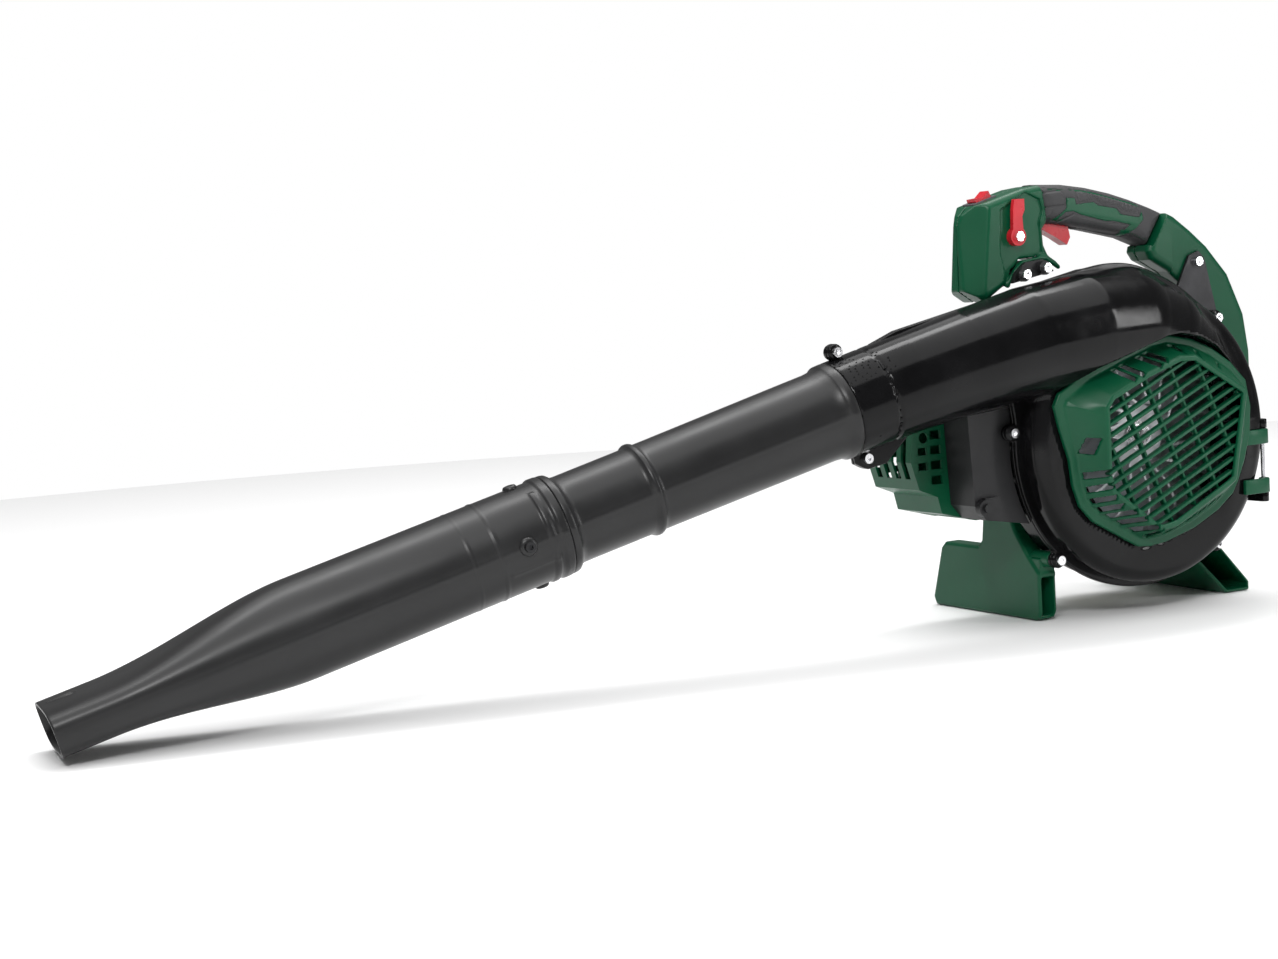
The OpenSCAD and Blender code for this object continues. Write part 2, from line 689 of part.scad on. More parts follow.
module fuel_tank() color([0.82, 0.82, 0.78]) at_fan() difference() {
  union() {
    box(tank_x[0], tank_x[1], tank_y[0], tank_y[1], tank_z[0], tank_z[1]);
    translate([cap_at[0], cap_at[1], tank_z[0] - 8]) cylinder(h = 9, r = 13);
  }
  box(tank_x[0] + 2.5, tank_x[1] - 2.5, tank_y[0] + 2.5, tank_y[1] - 2.5, tank_z[0] + 2.5, tank_z[1] - 2.5);
  translate([cap_at[0], cap_at[1], tank_z[0] - 20]) cylinder(h = 30, r = 10);
}

module fuel_cap() color([0.1, 0.1, 0.1]) at_fan() translate([cap_at[0], cap_at[1], tank_z[0] - 14]) difference() {
  union() {
    cylinder(h = 13, r = 16.5);
    for (a = [0 : 30 : 330]) rotate([0, 0, a]) translate([16, 0, 0]) cylinder(h = 13, r = 1.6);
  }
  translate([0, 0, 4]) cylinder(h = 20, r = 13 + run_clear);
}

// ---------- exhaust ----------
muffler_x = [-108, -55];
muffler_y = [fin_h + 1, 92];
muffler_z = [cyl_z - 28, cyl_z + 20];

module muffler() color([0.35, 0.34, 0.33]) at_fan() difference() {
  union() {
    box(muffler_x[0], muffler_x[1], muffler_y[0], muffler_y[1], muffler_z[0], muffler_z[1]);
    translate([-80, 74, muffler_z[0] - 5]) cylinder(h = 5 + eps, r = 6);
  }
  box(muffler_x[0] + 2, muffler_x[1] - 2, muffler_y[0] + 2, muffler_y[1] - 2, muffler_z[0] + 2, muffler_z[1] - 2);
  translate([-80, 74, muffler_z[0] - 10]) cylinder(h = 20, r = 4);
  translate([-80, muffler_y[0] - 1, cyl_z]) rotate([-90, 0, 0]) cylinder(h = 5, r = 8);
}

module muffler_guard() color([0.08, 0.08, 0.085]) at_fan() difference() {
  box(muffler_x[0] - 5, muffler_x[1] + 5, muffler_y[0] + 2, muffler_y[1] + 5, muffler_z[0] - 9, cyl_z - 4);
  box(muffler_x[0] - 2.5, muffler_x[1] + 2.5, muffler_y[0] - 9, muffler_y[1] + 2.5, muffler_z[0] - 6.5, cyl_z);
  for (k = [0 : 6]) box(muffler_x[0] + 2 + 8 * k, muffler_x[0] + 6 + 8 * k, muffler_y[0] + 8, 66, -400, -50);
  for (k = [0 : 6]) box(muffler_x[0] + 2 + 8 * k, muffler_x[0] + 6 + 8 * k, 80, 200, muffler_z[0] - 4, cyl_z - 10);
  translate([-80, 74, muffler_z[0] - 20]) cylinder(h = 30, r = 7);
}

// ---------- cooling air ----------
duct_x = [-190, -141];
cover_top = fin_h + gap + 2.5;

module air_duct_outline()
  polygon([[duct_x[0], 33], [duct_x[0] + 4, -50], [duct_x[0] + 16, -64], [-112, -74], [-112, 40]]);

module air_duct() color([0.07, 0.07, 0.075]) at_fan() difference() {
  slab(case_z - 2, -flange_t - gap) air_duct_outline();
  slab(case_z - 3, -flange_t - gap - 2.5) intersection() {
    translate([2.5, 2.5]) air_duct_outline();
    translate([-2.5, -2.5]) air_duct_outline();
    translate([2.5, -2.5]) air_duct_outline();
  }
  slab(-200, 100) scroll_outline(flange_w + gap);
  translate([duct_lug[0], duct_lug[1], -60]) cylinder(h = 120, r = screw_r + 0.1);
}

clip_at = [-178, -52];

module duct_clip() color([0.06, 0.06, 0.06]) at_fan() {
  translate([clip_at[0], clip_at[1], -flange_t - gap]) cylinder(h = 7, r = 8);
  translate([clip_at[0], clip_at[1], -flange_t - gap + 7 - eps]) cylinder(h = 3, r = 4);
  box(clip_at[0], clip_at[0] + 16, clip_at[1] - 1, clip_at[1] + 9, -flange_t - gap, -flange_t - gap + 5);
}

shroud_x = [-228, -46];
shroud_z = [case_z - 74, case_z - 2 - gap];

module shroud_outline()
  polygon([
    [shroud_x[0] + 12, cover_top], [shroud_x[0] + 3, 27], [shroud_x[0], -8], [shroud_x[0] + 8, -34],
    [shroud_x[0] + 28, -42], [shroud_x[0] + 32, -58], [shroud_x[0] + 70, -68], [shroud_x[1], -68],
    [shroud_x[1], cover_top]
  ]);

// The same outline moved in by the wall on every side
module shroud_inside(t)
  polygon([
    [shroud_x[0] + 12 + t, cover_top - t], [shroud_x[0] + 3 + t, 27], [shroud_x[0] + t, -8],
    [shroud_x[0] + 8 + t, -34 + t], [shroud_x[0] + 28 + t, -42 + t], [shroud_x[0] + 32 + t, -58 + t],
    [shroud_x[0] + 70, -68 + t], [shroud_x[1] + 1, -68 + t], [shroud_x[1] + 1, cover_top - t]
  ]);

module engine_cover() color([0, 0.29, 0.17]) at_fan() difference() {
  slab(shroud_z[0], shroud_z[1]) shroud_outline();
  slab(shroud_z[0] + 2.5, shroud_z[1] - 2.5) shroud_inside(2.5);
  // openings behind the air duct, round the muffler and round the starter
  box(-186, -120, -48, 20, shroud_z[1] - 5, shroud_z[1] + 5);
  box(-118, 0, -fin_h - 1, 60, shroud_z[1] - 5, shroud_z[1] + 5);
  box(muffler_x[0] - 1, 0, fin_h - 2, 60, -200, 0);
  translate([0, 0, starter_back - 1]) cylinder(h = starter_depth + 1 + gap, r = starter_r + gap);
  // vents right through both side walls
  translate([-213, 14, -200]) cylinder(h = 300, r = 5);
  for (k = [0 : 3]) box(-206, -194, 12 - 14 * k, 20 - 14 * k, -200, 0);
  for (k = [0 : 1]) box(-220, -210, -2 - 14 * k, 5 - 14 * k, -200, 0);
  // vents in the front wall and in the floor
  for (k = [0 : 3]) box(-240, -215, -24, 16, shroud_z[0] + 10 + 15 * k, shroud_z[0] + 18 + 15 * k);
  for (k = [0 : 3]) box(-180 + 16 * k, -172 + 16 * k, -80, -50, shroud_z[0] + 8, shroud_z[1] - 10);
}

// ---------- feet ----------
foot_x = [front_foot_lug[0] - foot_t / 2, front_foot_lug[0] + foot_t / 2];
foot_near = 14;
foot_neck = [56, 98];
foot_top = -68;

// Outline across the machine: x runs from the near end to the far end, y up
module front_foot_outline(t) {
  far = foot_near + front_foot_w;
  polygon([
    [foot_near + t - 2 * (t > 0 ? t + 1 : 0), floor_y + t], [foot_near + t - 2 * (t > 0 ? t + 1 : 0), -122 - t],
    [foot_near + 16, -106 - t], [foot_neck[0] - 8 + t, -84], [foot_neck[0] + t, foot_top - t],
    [foot_neck[1] - t, foot_top - t], [foot_neck[1] + 4 - t, -96 - t], [foot_neck[1] + 10, -102 - t],
    [far - 28, -102 - t], [far - 20 - t, -108 - t], [far - t, floor_y + 8], [far - 5 - t, floor_y + t]
  ]);
}

module across(x0, x1) translate([x0, 0, 0]) rotate([90, 0, 90]) linear_extrude(x1 - x0) children();

module front_foot() color([0, 0.29, 0.17]) difference() {
  union() {
    translate([fan_x, split_y, axis_z]) across(foot_x[0], foot_x[1]) front_foot_outline(0);
    at_fan() translate([front_foot_lug[0], front_foot_lug[1], -foot_near - 16])
      cylinder(h = foot_near + 16 - flange_t, r = lug_r);
  }
  translate([fan_x, split_y, axis_z]) across(foot_x[0] + foot_wall, foot_x[1] - foot_wall)
    front_foot_outline(foot_wall);
  at_fan() translate([front_foot_lug[0], front_foot_lug[1], -40]) cylinder(h = 60, r = screw_r + 0.1);
}

rear_near = 14;

module rear_foot_outline()
  polygon([
    [rear_foot_lug[0] - 12, -128], [rear_foot_lug[0] + 4, -106], [150, floor_y + 6], [150, floor_y], [122, floor_y]
  ]);

module rear_foot_cavity()
  polygon([
    [rear_foot_lug[0] - 7.5, -127], [rear_foot_lug[0] + 3.6, -112], [143, floor_y + 8], [141, floor_y + 4],
    [124, floor_y + 4]
  ]);

module rear_foot() color([0, 0.29, 0.17]) at_fan() difference() {
  union() {
    slab(-rear_near - rear_foot_w, -rear_near) rear_foot_outline();
    translate([rear_foot_lug[0], rear_foot_lug[1], -rear_near - 3])
      cylinder(h = rear_near + 3 - flange_t, r = lug_r);
  }
  slab(-rear_near - rear_foot_w + foot_wall, -rear_near + 1) rear_foot_cavity();
  translate([rear_foot_lug[0], rear_foot_lug[1], -40]) cylinder(h = 60, r = screw_r + 0.1);
}

// ---------- handle ----------
module handle_outline() polygon(concat(handle_outer, handle_inner));

module handle_cavities() {
  // throttle housing, trigger slot and trigger swing
  box(-172, -104, 176, 218, handle_z - handle_t / 2 + 3, handle_z + handle_t / 2 - 3);
  box(-100, -42, 180, 222, handle_z - trigger_t / 2 - 0.6, handle_z + trigger_t / 2 + 0.6);
  // room for the rubber grip
  difference() {
    slab(handle_z - handle_t, handle_z + handle_t) polygon(grip_outer);
    slab(handle_z - core_t / 2, handle_z + core_t / 2) polygon(grip_core);
  }
  // pivots
  translate([trigger_pivot[0], trigger_pivot[1], handle_z - 12]) cylinder(h = 24, r = 2);
  translate([lever_pivot[0], lever_pivot[1], handle_z]) cylinder(h = 60, r = 3 + run_clear);
  // seat of the stop switch
  translate([switch_pivot[0], switch_pivot[1], handle_z]) rotate([0, 0, 16]) box(-13, 13, -8, 20, -9, 9);
}

module handle_left() color([0, 0.29, 0.17]) at_fan() difference() {
  slab(handle_z, handle_z + handle_t / 2) handle_outline();
  handle_cavities();
  // seat of the rear plate and the pilot hole of its screw
  slab(-flange_t - plate_t, 0) rear_plate_outline();
  translate([plate_hole[0], plate_hole[1], handle_z]) cylinder(h = 60, r = screw_r);
  // recess for the lock lever
  translate([lever_pivot[0], lever_pivot[1], handle_z + handle_t / 2 - 2.5]) cylinder(h = 10, r = 9);
}

module handle_right() color([0, 0.29, 0.17]) at_fan() difference() {
  slab(handle_z - handle_t / 2, handle_z) handle_outline();
  handle_cavities();
}

module grip_rubber() color([0.2, 0.2, 0.2]) at_fan() difference() {
  slab(handle_z - handle_t / 2, handle_z + handle_t / 2) polygon(grip_outer);
  slab(handle_z - core_t / 2, handle_z + core_t / 2) polygon(grip_core);
  box(-100, -42, 150, 222, handle_z - trigger_t / 2 - 0.6, handle_z + trigger_t / 2 + 0.6);
}

module trigger() color([0.75, 0.09, 0.12]) at_fan() difference() {
  union() {
    slab(handle_z - trigger_t / 2, handle_z + trigger_t / 2) translate(trigger_pivot) circle(r = 5);
    slab(handle_z - trigger_t / 2, handle_z + trigger_t / 2) polygon([
      [trigger_pivot[0] - 4, trigger_pivot[1] - 2], [trigger_pivot[0], trigger_pivot[1] + 4], [-54, 209],
      [-50, 190], [-54, 183], [-66, 190], [-84, 199]
    ]);
  }
  translate([trigger_pivot[0], trigger_pivot[1], handle_z - 20]) cylinder(h = 40, r = 2 + run_clear);
}

module trigger_pin() color([0.7, 0.7, 0.72]) at_fan()
  translate([trigger_pivot[0], trigger_pivot[1], handle_z - 12]) cylinder(h = 24, r = 2);

module switch_base() color([0.35, 0.35, 0.36]) at_fan()
  translate([switch_pivot[0], switch_pivot[1], handle_z]) rotate([0, 0, 16]) difference() {
    box(-13, 13, -8, 2.5, -9, 9);
    box(-11, 11, -6, 4, -7, 7);
    translate([0, 0, -20]) cylinder(h = 40, r = 1.5 + run_clear);
  }

module stop_switch() color([0.75, 0.09, 0.12]) at_fan()
  translate([switch_pivot[0], switch_pivot[1], handle_z]) rotate([0, 0, 16]) {
    slab(-6.5, 6.5) polygon([[-9, 3], [-9, 6], [0, 4.6], [8, 8.5], [9, 3], [3, -3], [-3, -3]]);
    translate([0, 0, -8.5]) cylinder(h = 17, r = 1.5);
  }

lever_z = handle_z + handle_t / 2 - 2.2;

module lock_lever() color([0.75, 0.09, 0.12]) at_fan() translate([lever_pivot[0], lever_pivot[1], lever_z]) difference() {
  union() {
    cylinder(h = 7, r = 8.5);
    translate([0, 0, 2.6]) linear_extrude(4.4) polygon([[-6, 2], [-5, 24], [-3, 34], [8, 34], [8, 24], [5, 18], [6, 2]]);
    translate([0, 0, -12]) cylinder(h = 13, r = 3);
  }
  translate([0, 0, -14]) cylinder(h = 30, r = 1.5);
}

module lock_lever_nut() color([0.85, 0.85, 0.86]) at_fan() translate([lever_pivot[0], lever_pivot[1], lever_z]) {
  translate([0, 0, 7]) hex_head(5, 3);
  translate([0, 0, -12]) cylinder(h = 19 + eps, r = 1.5);
}

mount_screws = [[-125, 158], [-101, 163]];

module front_mount() color([0.07, 0.07, 0.075]) at_fan() difference() {
  union() {
    slab(handle_z - 16, 0) polygon([[-135, 150.5], [-88, 159.5], [-90, 166], [-100, 171], [-120, 169], [-130, 161]]);
    for (p = mount_screws) translate([p[0], p[1], -eps]) cylinder(h = 5, r = 6.5);
  }
  for (p = mount_screws) translate([p[0], p[1], handle_z]) cylinder(h = 60, r = screw_r);
}

module front_mount_screws() color([0.88, 0.88, 0.9]) at_fan()
  for (p = mount_screws) translate([p[0], p[1], 5 - eps]) screw(26);

module rear_plate_outline() polygon([
  [plate_hole[0] - 9, plate_hole[1] + 6], [plate_hole[0] + 3, plate_hole[1] + 10],
  [plate_hole[0] + 10, plate_hole[1] + 3], [plate_lug[0] + 9, plate_lug[1] + 2],
  [plate_lug[0] + 2, plate_lug[1] - 9], [62, 134]
]);

module rear_plate() color([0.06, 0.06, 0.06]) at_fan() difference() {
  slab(-flange_t - plate_t, -flange_t) rear_plate_outline();
  for (p = [plate_hole, plate_lug]) translate([p[0], p[1], -60]) cylinder(h = 120, r = screw_r + 0.1);
}

module rear_plate_screws() color([0.88, 0.88, 0.9]) at_fan()
  translate([plate_hole[0], plate_hole[1], -flange_t]) screw(16);

// ---------- tubes ----------
tube_end_r = tube_r - 1.85;
lip_z = tube_len - 8;

module upper_tube_wall(shift) rotate_extrude() polygon([
  [0, -socket_len + 4 - shift], [tube_r - shift, -socket_len + 4 - shift], [tube_r - shift, 0],
  [tube_r + 3.4 - shift, 0], [tube_r + 3.4 - shift, 8], [tube_r - shift, 20],
  [tube_end_r + 0.6 - shift, tube_len * 0.66], [tube_end_r + 3 - shift, tube_len * 0.68],
  [tube_end_r + 0.5 - shift, tube_len * 0.7], [tube_end_r - shift, lip_z - 14],
  [tube_r + 3.4 - shift, lip_z - 4], [tube_r + 3.4 - shift, lip_z], [tube_r - shift, lip_z],
  [tube_r - shift, lip_z + socket_len], [0, lip_z + socket_len]
]);

module upper_tube() color([0.16, 0.16, 0.165]) at_tube() difference() {
  upper_tube_wall(0);
  translate([0, 0, -socket_len]) cylinder(h = tube_len * 0.68 + socket_len, r1 = tube_r - tube_wall, r2 = tube_end_r - tube_wall);
  translate([0, 0, tube_len * 0.68 - eps])
    cylinder(h = tube_len, r = tube_end_r - tube_wall);
}

nozzle_in_r = tube_r + tube_clear;
nozzle_out_r = nozzle_in_r + tube_wall;
nozzle_sides = 48;
taper_r = nozzle_out_r - 0.15;
round_end = 0.52;
flat_start = 0.9;

function ease(t) = t < 0 ? 0 : t > 1 ? 1 : t * t * (3 - 2 * t);

// One ring of the nozzle's skin: share k of its length, wall shift s
function ring_point(k, s, a) =
  let (m = ease((k - round_end) / (flat_start - round_end)),
       hy = (1 - m) * taper_r + m * mouth_w / 2 - s,
       hx = (1 - m) * taper_r + m * mouth_h / 2 - s,
       p = 1 - 0.45 * m,
       cx = cos(a), cy = sin(a))
  [sign(cx) * pow(abs(cx), p) * hx, sign(cy) * pow(abs(cy), p) * hy];

module nozzle_skin(s, k0, k1, steps) {
  n = nozzle_sides;
  points = [for (i = [0 : steps]) for (j = [0 : n - 1])
    let (k = k0 + (k1 - k0) * i / steps, p = ring_point(k, s, j * 360 / n)) [p[0], p[1], k * nozzle_len]];
  sides = [for (i = [0 : steps - 1]) for (j = [0 : n - 1])
    let (a = i * n + j, b = i * n + (j + 1) % n) each [[a, a + n, b + n], [a, b + n, b]]];
  polyhedron(points = points, faces = concat(sides, [[for (j = [0 : n - 1]) j]],
    [[for (j = [n - 1 : -1 : 0]) steps * n + j]]));
}

screw_at = 38;

module nozzle() color([0.14, 0.14, 0.145]) at_tube(lip_z + gap) difference() {
  union() {
    cylinder(h = round_end * nozzle_len, r = nozzle_out_r);
    nozzle_skin(0, round_end - 0.01, 1, 14);
    cylinder(h = 8, r = nozzle_out_r + 1.6);
    translate([0, 0, screw_at]) rotate([-90, 0, 0]) cylinder(h = nozzle_out_r + 2, r = 7);
    for (s = [-1, 1]) translate([0, 0, 24]) rotate([0, s * 90, 0]) cylinder(h = nozzle_out_r + 3, r = 4.5);
  }
  translate([0, 0, -1]) cylinder(h = round_end * nozzle_len - 8, r = nozzle_in_r);
  nozzle_skin(tube_wall, round_end - 0.04, 1.004, 14);
  translate([0, 0, screw_at]) rotate([-90, 0, 0]) cylinder(h = 60, r = screw_r);
}

module nozzle_screw() color([0.08, 0.08, 0.08]) at_tube(lip_z + gap + screw_at) rotate([-90, 0, 0])
  translate([0, 0, nozzle_out_r + 2]) screw(nozzle_out_r + 2 - nozzle_in_r);

// ---------- fasteners ----------
module clamp_bolts() color([0.88, 0.88, 0.9]) at_fan() clamp_lug_places() {
  translate([0, 0, flange_t]) screw(2 * flange_t + 2);
  translate([0, 0, -flange_t - 4]) difference() {
    hex_head(head_r + 0.6, 4);
    translate([0, 0, -1]) cylinder(h = 6, r = screw_r - eps);
  }
}

module flange_bolts() color([0.88, 0.88, 0.9]) at_fan()
  for (p = flange_lugs) translate([p[0], p[1], flange_t]) screw(2 * flange_t + 5);

volute_left();
volute_right();
intake_cover();
cover_hinge_pin();
fan();
fan_nut();
crankshaft();
crank_bearings();
crankcase();
cylinder_node();  // cylinder
piston();
spark_plug();
plug_cap();
flywheel();
ignition_coil();
starter_cup();
starter_housing();
starter_pulley();
starter_rope();
starter_grip();
reed_block();
carburettor();
throttle_lever();
primer_bulb();
choke_lever();
air_filter_base();
air_filter_element();
air_filter_cover();
filter_knob();
muffler();
muffler_guard();
air_duct();
duct_clip();
engine_cover();
fuel_tank();
fuel_cap();
front_foot();
rear_foot();
handle_left();
handle_right();
grip_rubber();
trigger();
trigger_pin();
stop_switch();
switch_base();
lock_lever();
lock_lever_nut();
front_mount();
front_mount_screws();
rear_plate();
rear_plate_screws();
upper_tube();
nozzle();
nozzle_screw();
clamp_bolts();
flange_bolts();
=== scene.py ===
# A hand-held petrol leaf blower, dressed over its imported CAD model.
import json
import math

import bpy
import numpy as np
from mathutils import Matrix, Vector


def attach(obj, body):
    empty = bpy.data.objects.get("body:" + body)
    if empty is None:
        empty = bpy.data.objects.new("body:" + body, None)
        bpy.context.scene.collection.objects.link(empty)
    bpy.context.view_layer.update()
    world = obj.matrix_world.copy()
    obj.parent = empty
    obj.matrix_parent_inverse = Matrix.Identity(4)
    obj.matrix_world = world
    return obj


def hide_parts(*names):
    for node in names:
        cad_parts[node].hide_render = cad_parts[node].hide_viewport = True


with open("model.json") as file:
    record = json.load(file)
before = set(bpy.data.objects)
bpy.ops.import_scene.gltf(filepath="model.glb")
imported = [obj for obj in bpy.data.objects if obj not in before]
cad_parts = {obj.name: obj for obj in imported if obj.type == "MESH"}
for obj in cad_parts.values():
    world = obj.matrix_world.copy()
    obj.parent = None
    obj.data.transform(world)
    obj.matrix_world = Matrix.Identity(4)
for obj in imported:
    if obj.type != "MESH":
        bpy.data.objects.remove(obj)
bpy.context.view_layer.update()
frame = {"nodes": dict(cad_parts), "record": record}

# ---------- frames, in millimetres ----------
FAN = np.array([433.0, -63.0, 167.0])
COLLAR = np.array([-332.0, 50.0, 0.0])
PITCH, YAW = math.radians(15.6), math.radians(6.0)
INWARD = np.array([math.cos(PITCH) * math.cos(YAW), math.sin(PITCH), math.cos(PITCH) * math.sin(YAW)])
HANDLE_Z = -27.0
INTAKE_R = 92
SCREW_HOLE = 2.7
SLEEVE_BORE, SLEEVE_DEPTH = 40.3, 50
WALL = 3.0
FOOT_U, FOOT_T = -99.3, 20


def turn(axis, angle):
    return np.array(Matrix.Rotation(angle, 3, axis))


TUBE = turn("X", -math.pi / 2) @ turn("Z", math.pi - YAW) @ turn("Y", math.pi / 2 + PITCH)


def from_fan(p):
    """Points (rearward, up, out of the intake) from the fan axis, to metres in the row frame."""
    p = np.asarray(p, float)
    return (FAN + np.stack([p[..., 0], -p[..., 2], p[..., 1]], -1)) / 1000


def from_tube(p):
    """Points (down, to the intake side, along the tube) from the collar, to metres in the row frame."""
    return from_fan(COLLAR + np.asarray(p, float) @ TUBE.T)


# ---------- fields: signed distances in millimetres ----------
def poly(u, v, points):
    points = np.asarray(points, float)
    best = np.full(u.shape, 1e9)
    inside = np.zeros(u.shape, bool)
    for a, b in zip(points, np.roll(points, -1, 0)):
        e = b - a
        du, dv = u - a[0], v - a[1]
        t = np.clip((du * e[0] + dv * e[1]) / (e @ e), 0, 1)
        best = np.minimum(best, np.hypot(du - e[0] * t, dv - e[1] * t))
        crosses = ((a[1] > v) != (b[1] > v)) & (
            u < (b[0] - a[0]) * (v - a[1]) / (b[1] - a[1] if b[1] != a[1] else 1e-9) + a[0])
        inside ^= crosses
    return np.where(inside, -best, best)


def slab(flat, w, low, high, rounding=0.0):
    """A flat field made solid from low to high, with rounded edges."""
    side = flat + rounding
    cap = np.abs(w - (low + high) / 2) - (high - low) / 2 + rounding
    return np.minimum(np.maximum(side, cap), 0) + np.hypot(np.maximum(side, 0),
                                                           np.maximum(cap, 0)) - rounding


def smooth_min(a, b, k):
    h = np.clip(0.5 + 0.5 * (b - a) / k, 0, 1)
    return b + (a - b) * h - k * h * (1 - h)


def smooth_max(a, b, k):
    return -smooth_min(-a, -b, k)


def chain(u, v, w, points):
    """Distance to a chain of round cones; points are (u, v, w, radius)."""
    out = np.full(u.shape, 1e9)
    for a, b in zip(points[:-1], points[1:]):
        a, b = np.asarray(a, float), np.asarray(b, float)
        e = b[:3] - a[:3]
        t = np.clip(((u - a[0]) * e[0] + (v - a[1]) * e[1] + (w - a[2]) * e[2]) / (e @ e), 0, 1)
        d = np.sqrt((u - a[0] - e[0] * t) ** 2 + (v - a[1] - e[1] * t) ** 2 + (w - a[2] - e[2] * t) ** 2)
        out = np.minimum(out, d - (a[3] + (b[3] - a[3]) * t))
    return out


def bar_between(u, v, a, b, half):
    """Flat distance to a straight strip from a to b."""
    a, b = np.asarray(a, float), np.asarray(b, float)
    e = (b - a) / np.linalg.norm(b - a)
    c = (a + b) / 2
    along = np.abs((u - c[0]) * e[0] + (v - c[1]) * e[1]) - np.linalg.norm(b - a) / 2
    across = np.abs(-(u - c[0]) * e[1] + (v - c[1]) * e[0]) - half
    return np.maximum(along, across)


# ---------- meshes ----------
def make(name, verts, faces, material, body="machine", normals=None):
    mesh = bpy.data.meshes.new(name)
    mesh.from_pydata([tuple(map(float, p)) for p in verts], [], faces)
    mesh.update()
    for face in mesh.polygons:
        face.use_smooth = True
    piece = bpy.data.objects.new(name, mesh)
    bpy.context.scene.collection.objects.link(piece)
    mesh.materials.append(material)
    if normals is not None:
        mesh.normals_split_custom_set_from_vertices([tuple(map(float, n)) for n in normals])
    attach(piece, body)
    return piece


def net(field, low, high, step):
    """Surface of field = 0 as points and quads, by surface nets, with the points drawn onto the surface."""
    step = np.broadcast_to(np.asarray(step, float), (3,))
    counts = [int(math.ceil((h - l) / s)) + 1 for l, h, s in zip(low, high, step)]
    axes = [l + s * np.arange(n) for l, s, n in zip(low, step, counts)]
    grid = field(*np.meshgrid(*axes, indexing="ij"))
    cells = tuple(n - 1 for n in counts)
    total = np.zeros(cells + (3,))
    hits = np.zeros(cells)
    edges = []
    for axis in range(3):
        a = np.take(grid, range(counts[axis] - 1), axis)
        b = np.take(grid, range(1, counts[axis]), axis)
        cross = (a < 0) != (b < 0)
        with np.errstate(divide="ignore", invalid="ignore"):
            t = np.where(cross, a / (a - b), 0.0)
        edges.append((cross, a < 0))
        p, q = [k for k in range(3) if k != axis]
        place = np.indices(cross.shape).astype(float)
        place[axis] += t
        for i in (0, 1):
            for j in (0, 1):
                cut = [slice(None)] * 3
                cut[p] = slice(i, i + cells[p])
                cut[q] = slice(j, j + cells[q])
                c = cross[tuple(cut)]
                hits += c
                for k in range(3):
                    total[..., k] += np.where(c, place[k][tuple(cut)], 0)
    used = hits > 0
    number = np.full(cells, -1)
    number[used] = np.arange(used.sum())
    points = total[used] / hits[used][:, None] * step + np.asarray(low, float)
    faces = []
    for axis in range(3):
        cross, inside = edges[axis]
        p, q = [(1, 2), (2, 0), (0, 1)][axis]
        cut = [slice(None)] * 3
        cut[p] = slice(1, counts[p] - 1)
        cut[q] = slice(1, counts[q] - 1)
        at = np.argwhere(cross[tuple(cut)])
        at[:, p] += 1
        at[:, q] += 1
        flip = ~inside[tuple(at.T)]
        corners = []
        for dp, dq in ((-1, -1), (0, -1), (0, 0), (-1, 0)):
            c = at.copy()
            c[:, p] += dp
            c[:, q] += dq
            corners.append(number[tuple(c.T)])
        quads = np.stack(corners, 1)
        quads[flip] = quads[flip][:, ::-1]
        faces.append(quads)
    faces = np.concatenate(faces)
    for _ in range(3):
        d, g = slope(field, points, step.min() * 0.2)
        move = d[:, None] * g
        size = np.linalg.norm(move, axis=1, keepdims=True)
        points = points - move * np.minimum(1, 0.6 * step.min() / np.maximum(size, 1e-9))
    _, g = slope(field, points, step.min() * 0.25)
    return points, faces.tolist(), g


def slope(field, points, h):
    d = field(*points.T)
    g = np.stack([(field(*(points + h * e).T) - field(*(points - h * e).T)) / (2 * h) for e in np.eye(3)],
                 1)
    return d, g / np.maximum(np.linalg.norm(g, axis=1, keepdims=True), 1e-6)


def solid(name, field, low, high, step, material, body="machine", to_row=from_fan):
    points, faces, g = net(field, low, high, step)
    rows = to_row(points)
    normals = to_row(points + g) - rows
    normals /= np.maximum(np.linalg.norm(normals, axis=1, keepdims=True), 1e-9)
    return make(name, rows, faces, material, body, normals)


def loft(name, rings, material, body="machine", to_row=from_tube, closed=False):
    """Skin over rings of equal length; closed joins the last ring to the first."""
    rings = np.asarray(rings, float)
    count, n = rings.shape[:2]
    faces = []
    for i in range(count if closed else count - 1):
        a, b = i * n, (i + 1) % count * n
        for j in range(n):
            k = (j + 1) % n
            faces.append((a + j, a + k, b + k, b + j))
    return make(name, to_row(rings.reshape(-1, 3)), faces, material, body)


def prism(name, outline, low, high, material, body="machine", bevel=0.4, to_row=from_fan):
    """An outline made solid from low to high, with bevelled edges."""
    outline = np.asarray(outline, float)
    n = len(outline)
    area = np.sum(outline[:, 0] * np.roll(outline[:, 1], -1) - np.roll(outline[:, 0], -1) * outline[:, 1])
    if area < 0:
        outline = outline[::-1]
    verts = [(*p, low) for p in outline] + [(*p, high) for p in outline]
    faces = [tuple(range(n - 1, -1, -1)), tuple(range(n, 2 * n))]
    faces += [(i, (i + 1) % n, n + (i + 1) % n, n + i) for i in range(n)]
    return soften(make(name, to_row(np.array(verts)), faces, material, body), bevel)


def soften(piece, width, angle=35):
    """Small rounded edges, width in millimetres."""
    m = piece.modifiers.new("edges", "BEVEL")
    m.width = width / 1000
    m.segments = 2
    m.limit_method = "ANGLE"
    m.angle_limit = math.radians(angle)
    m.harden_normals = False
    m.use_clamp_overlap = True
    return piece


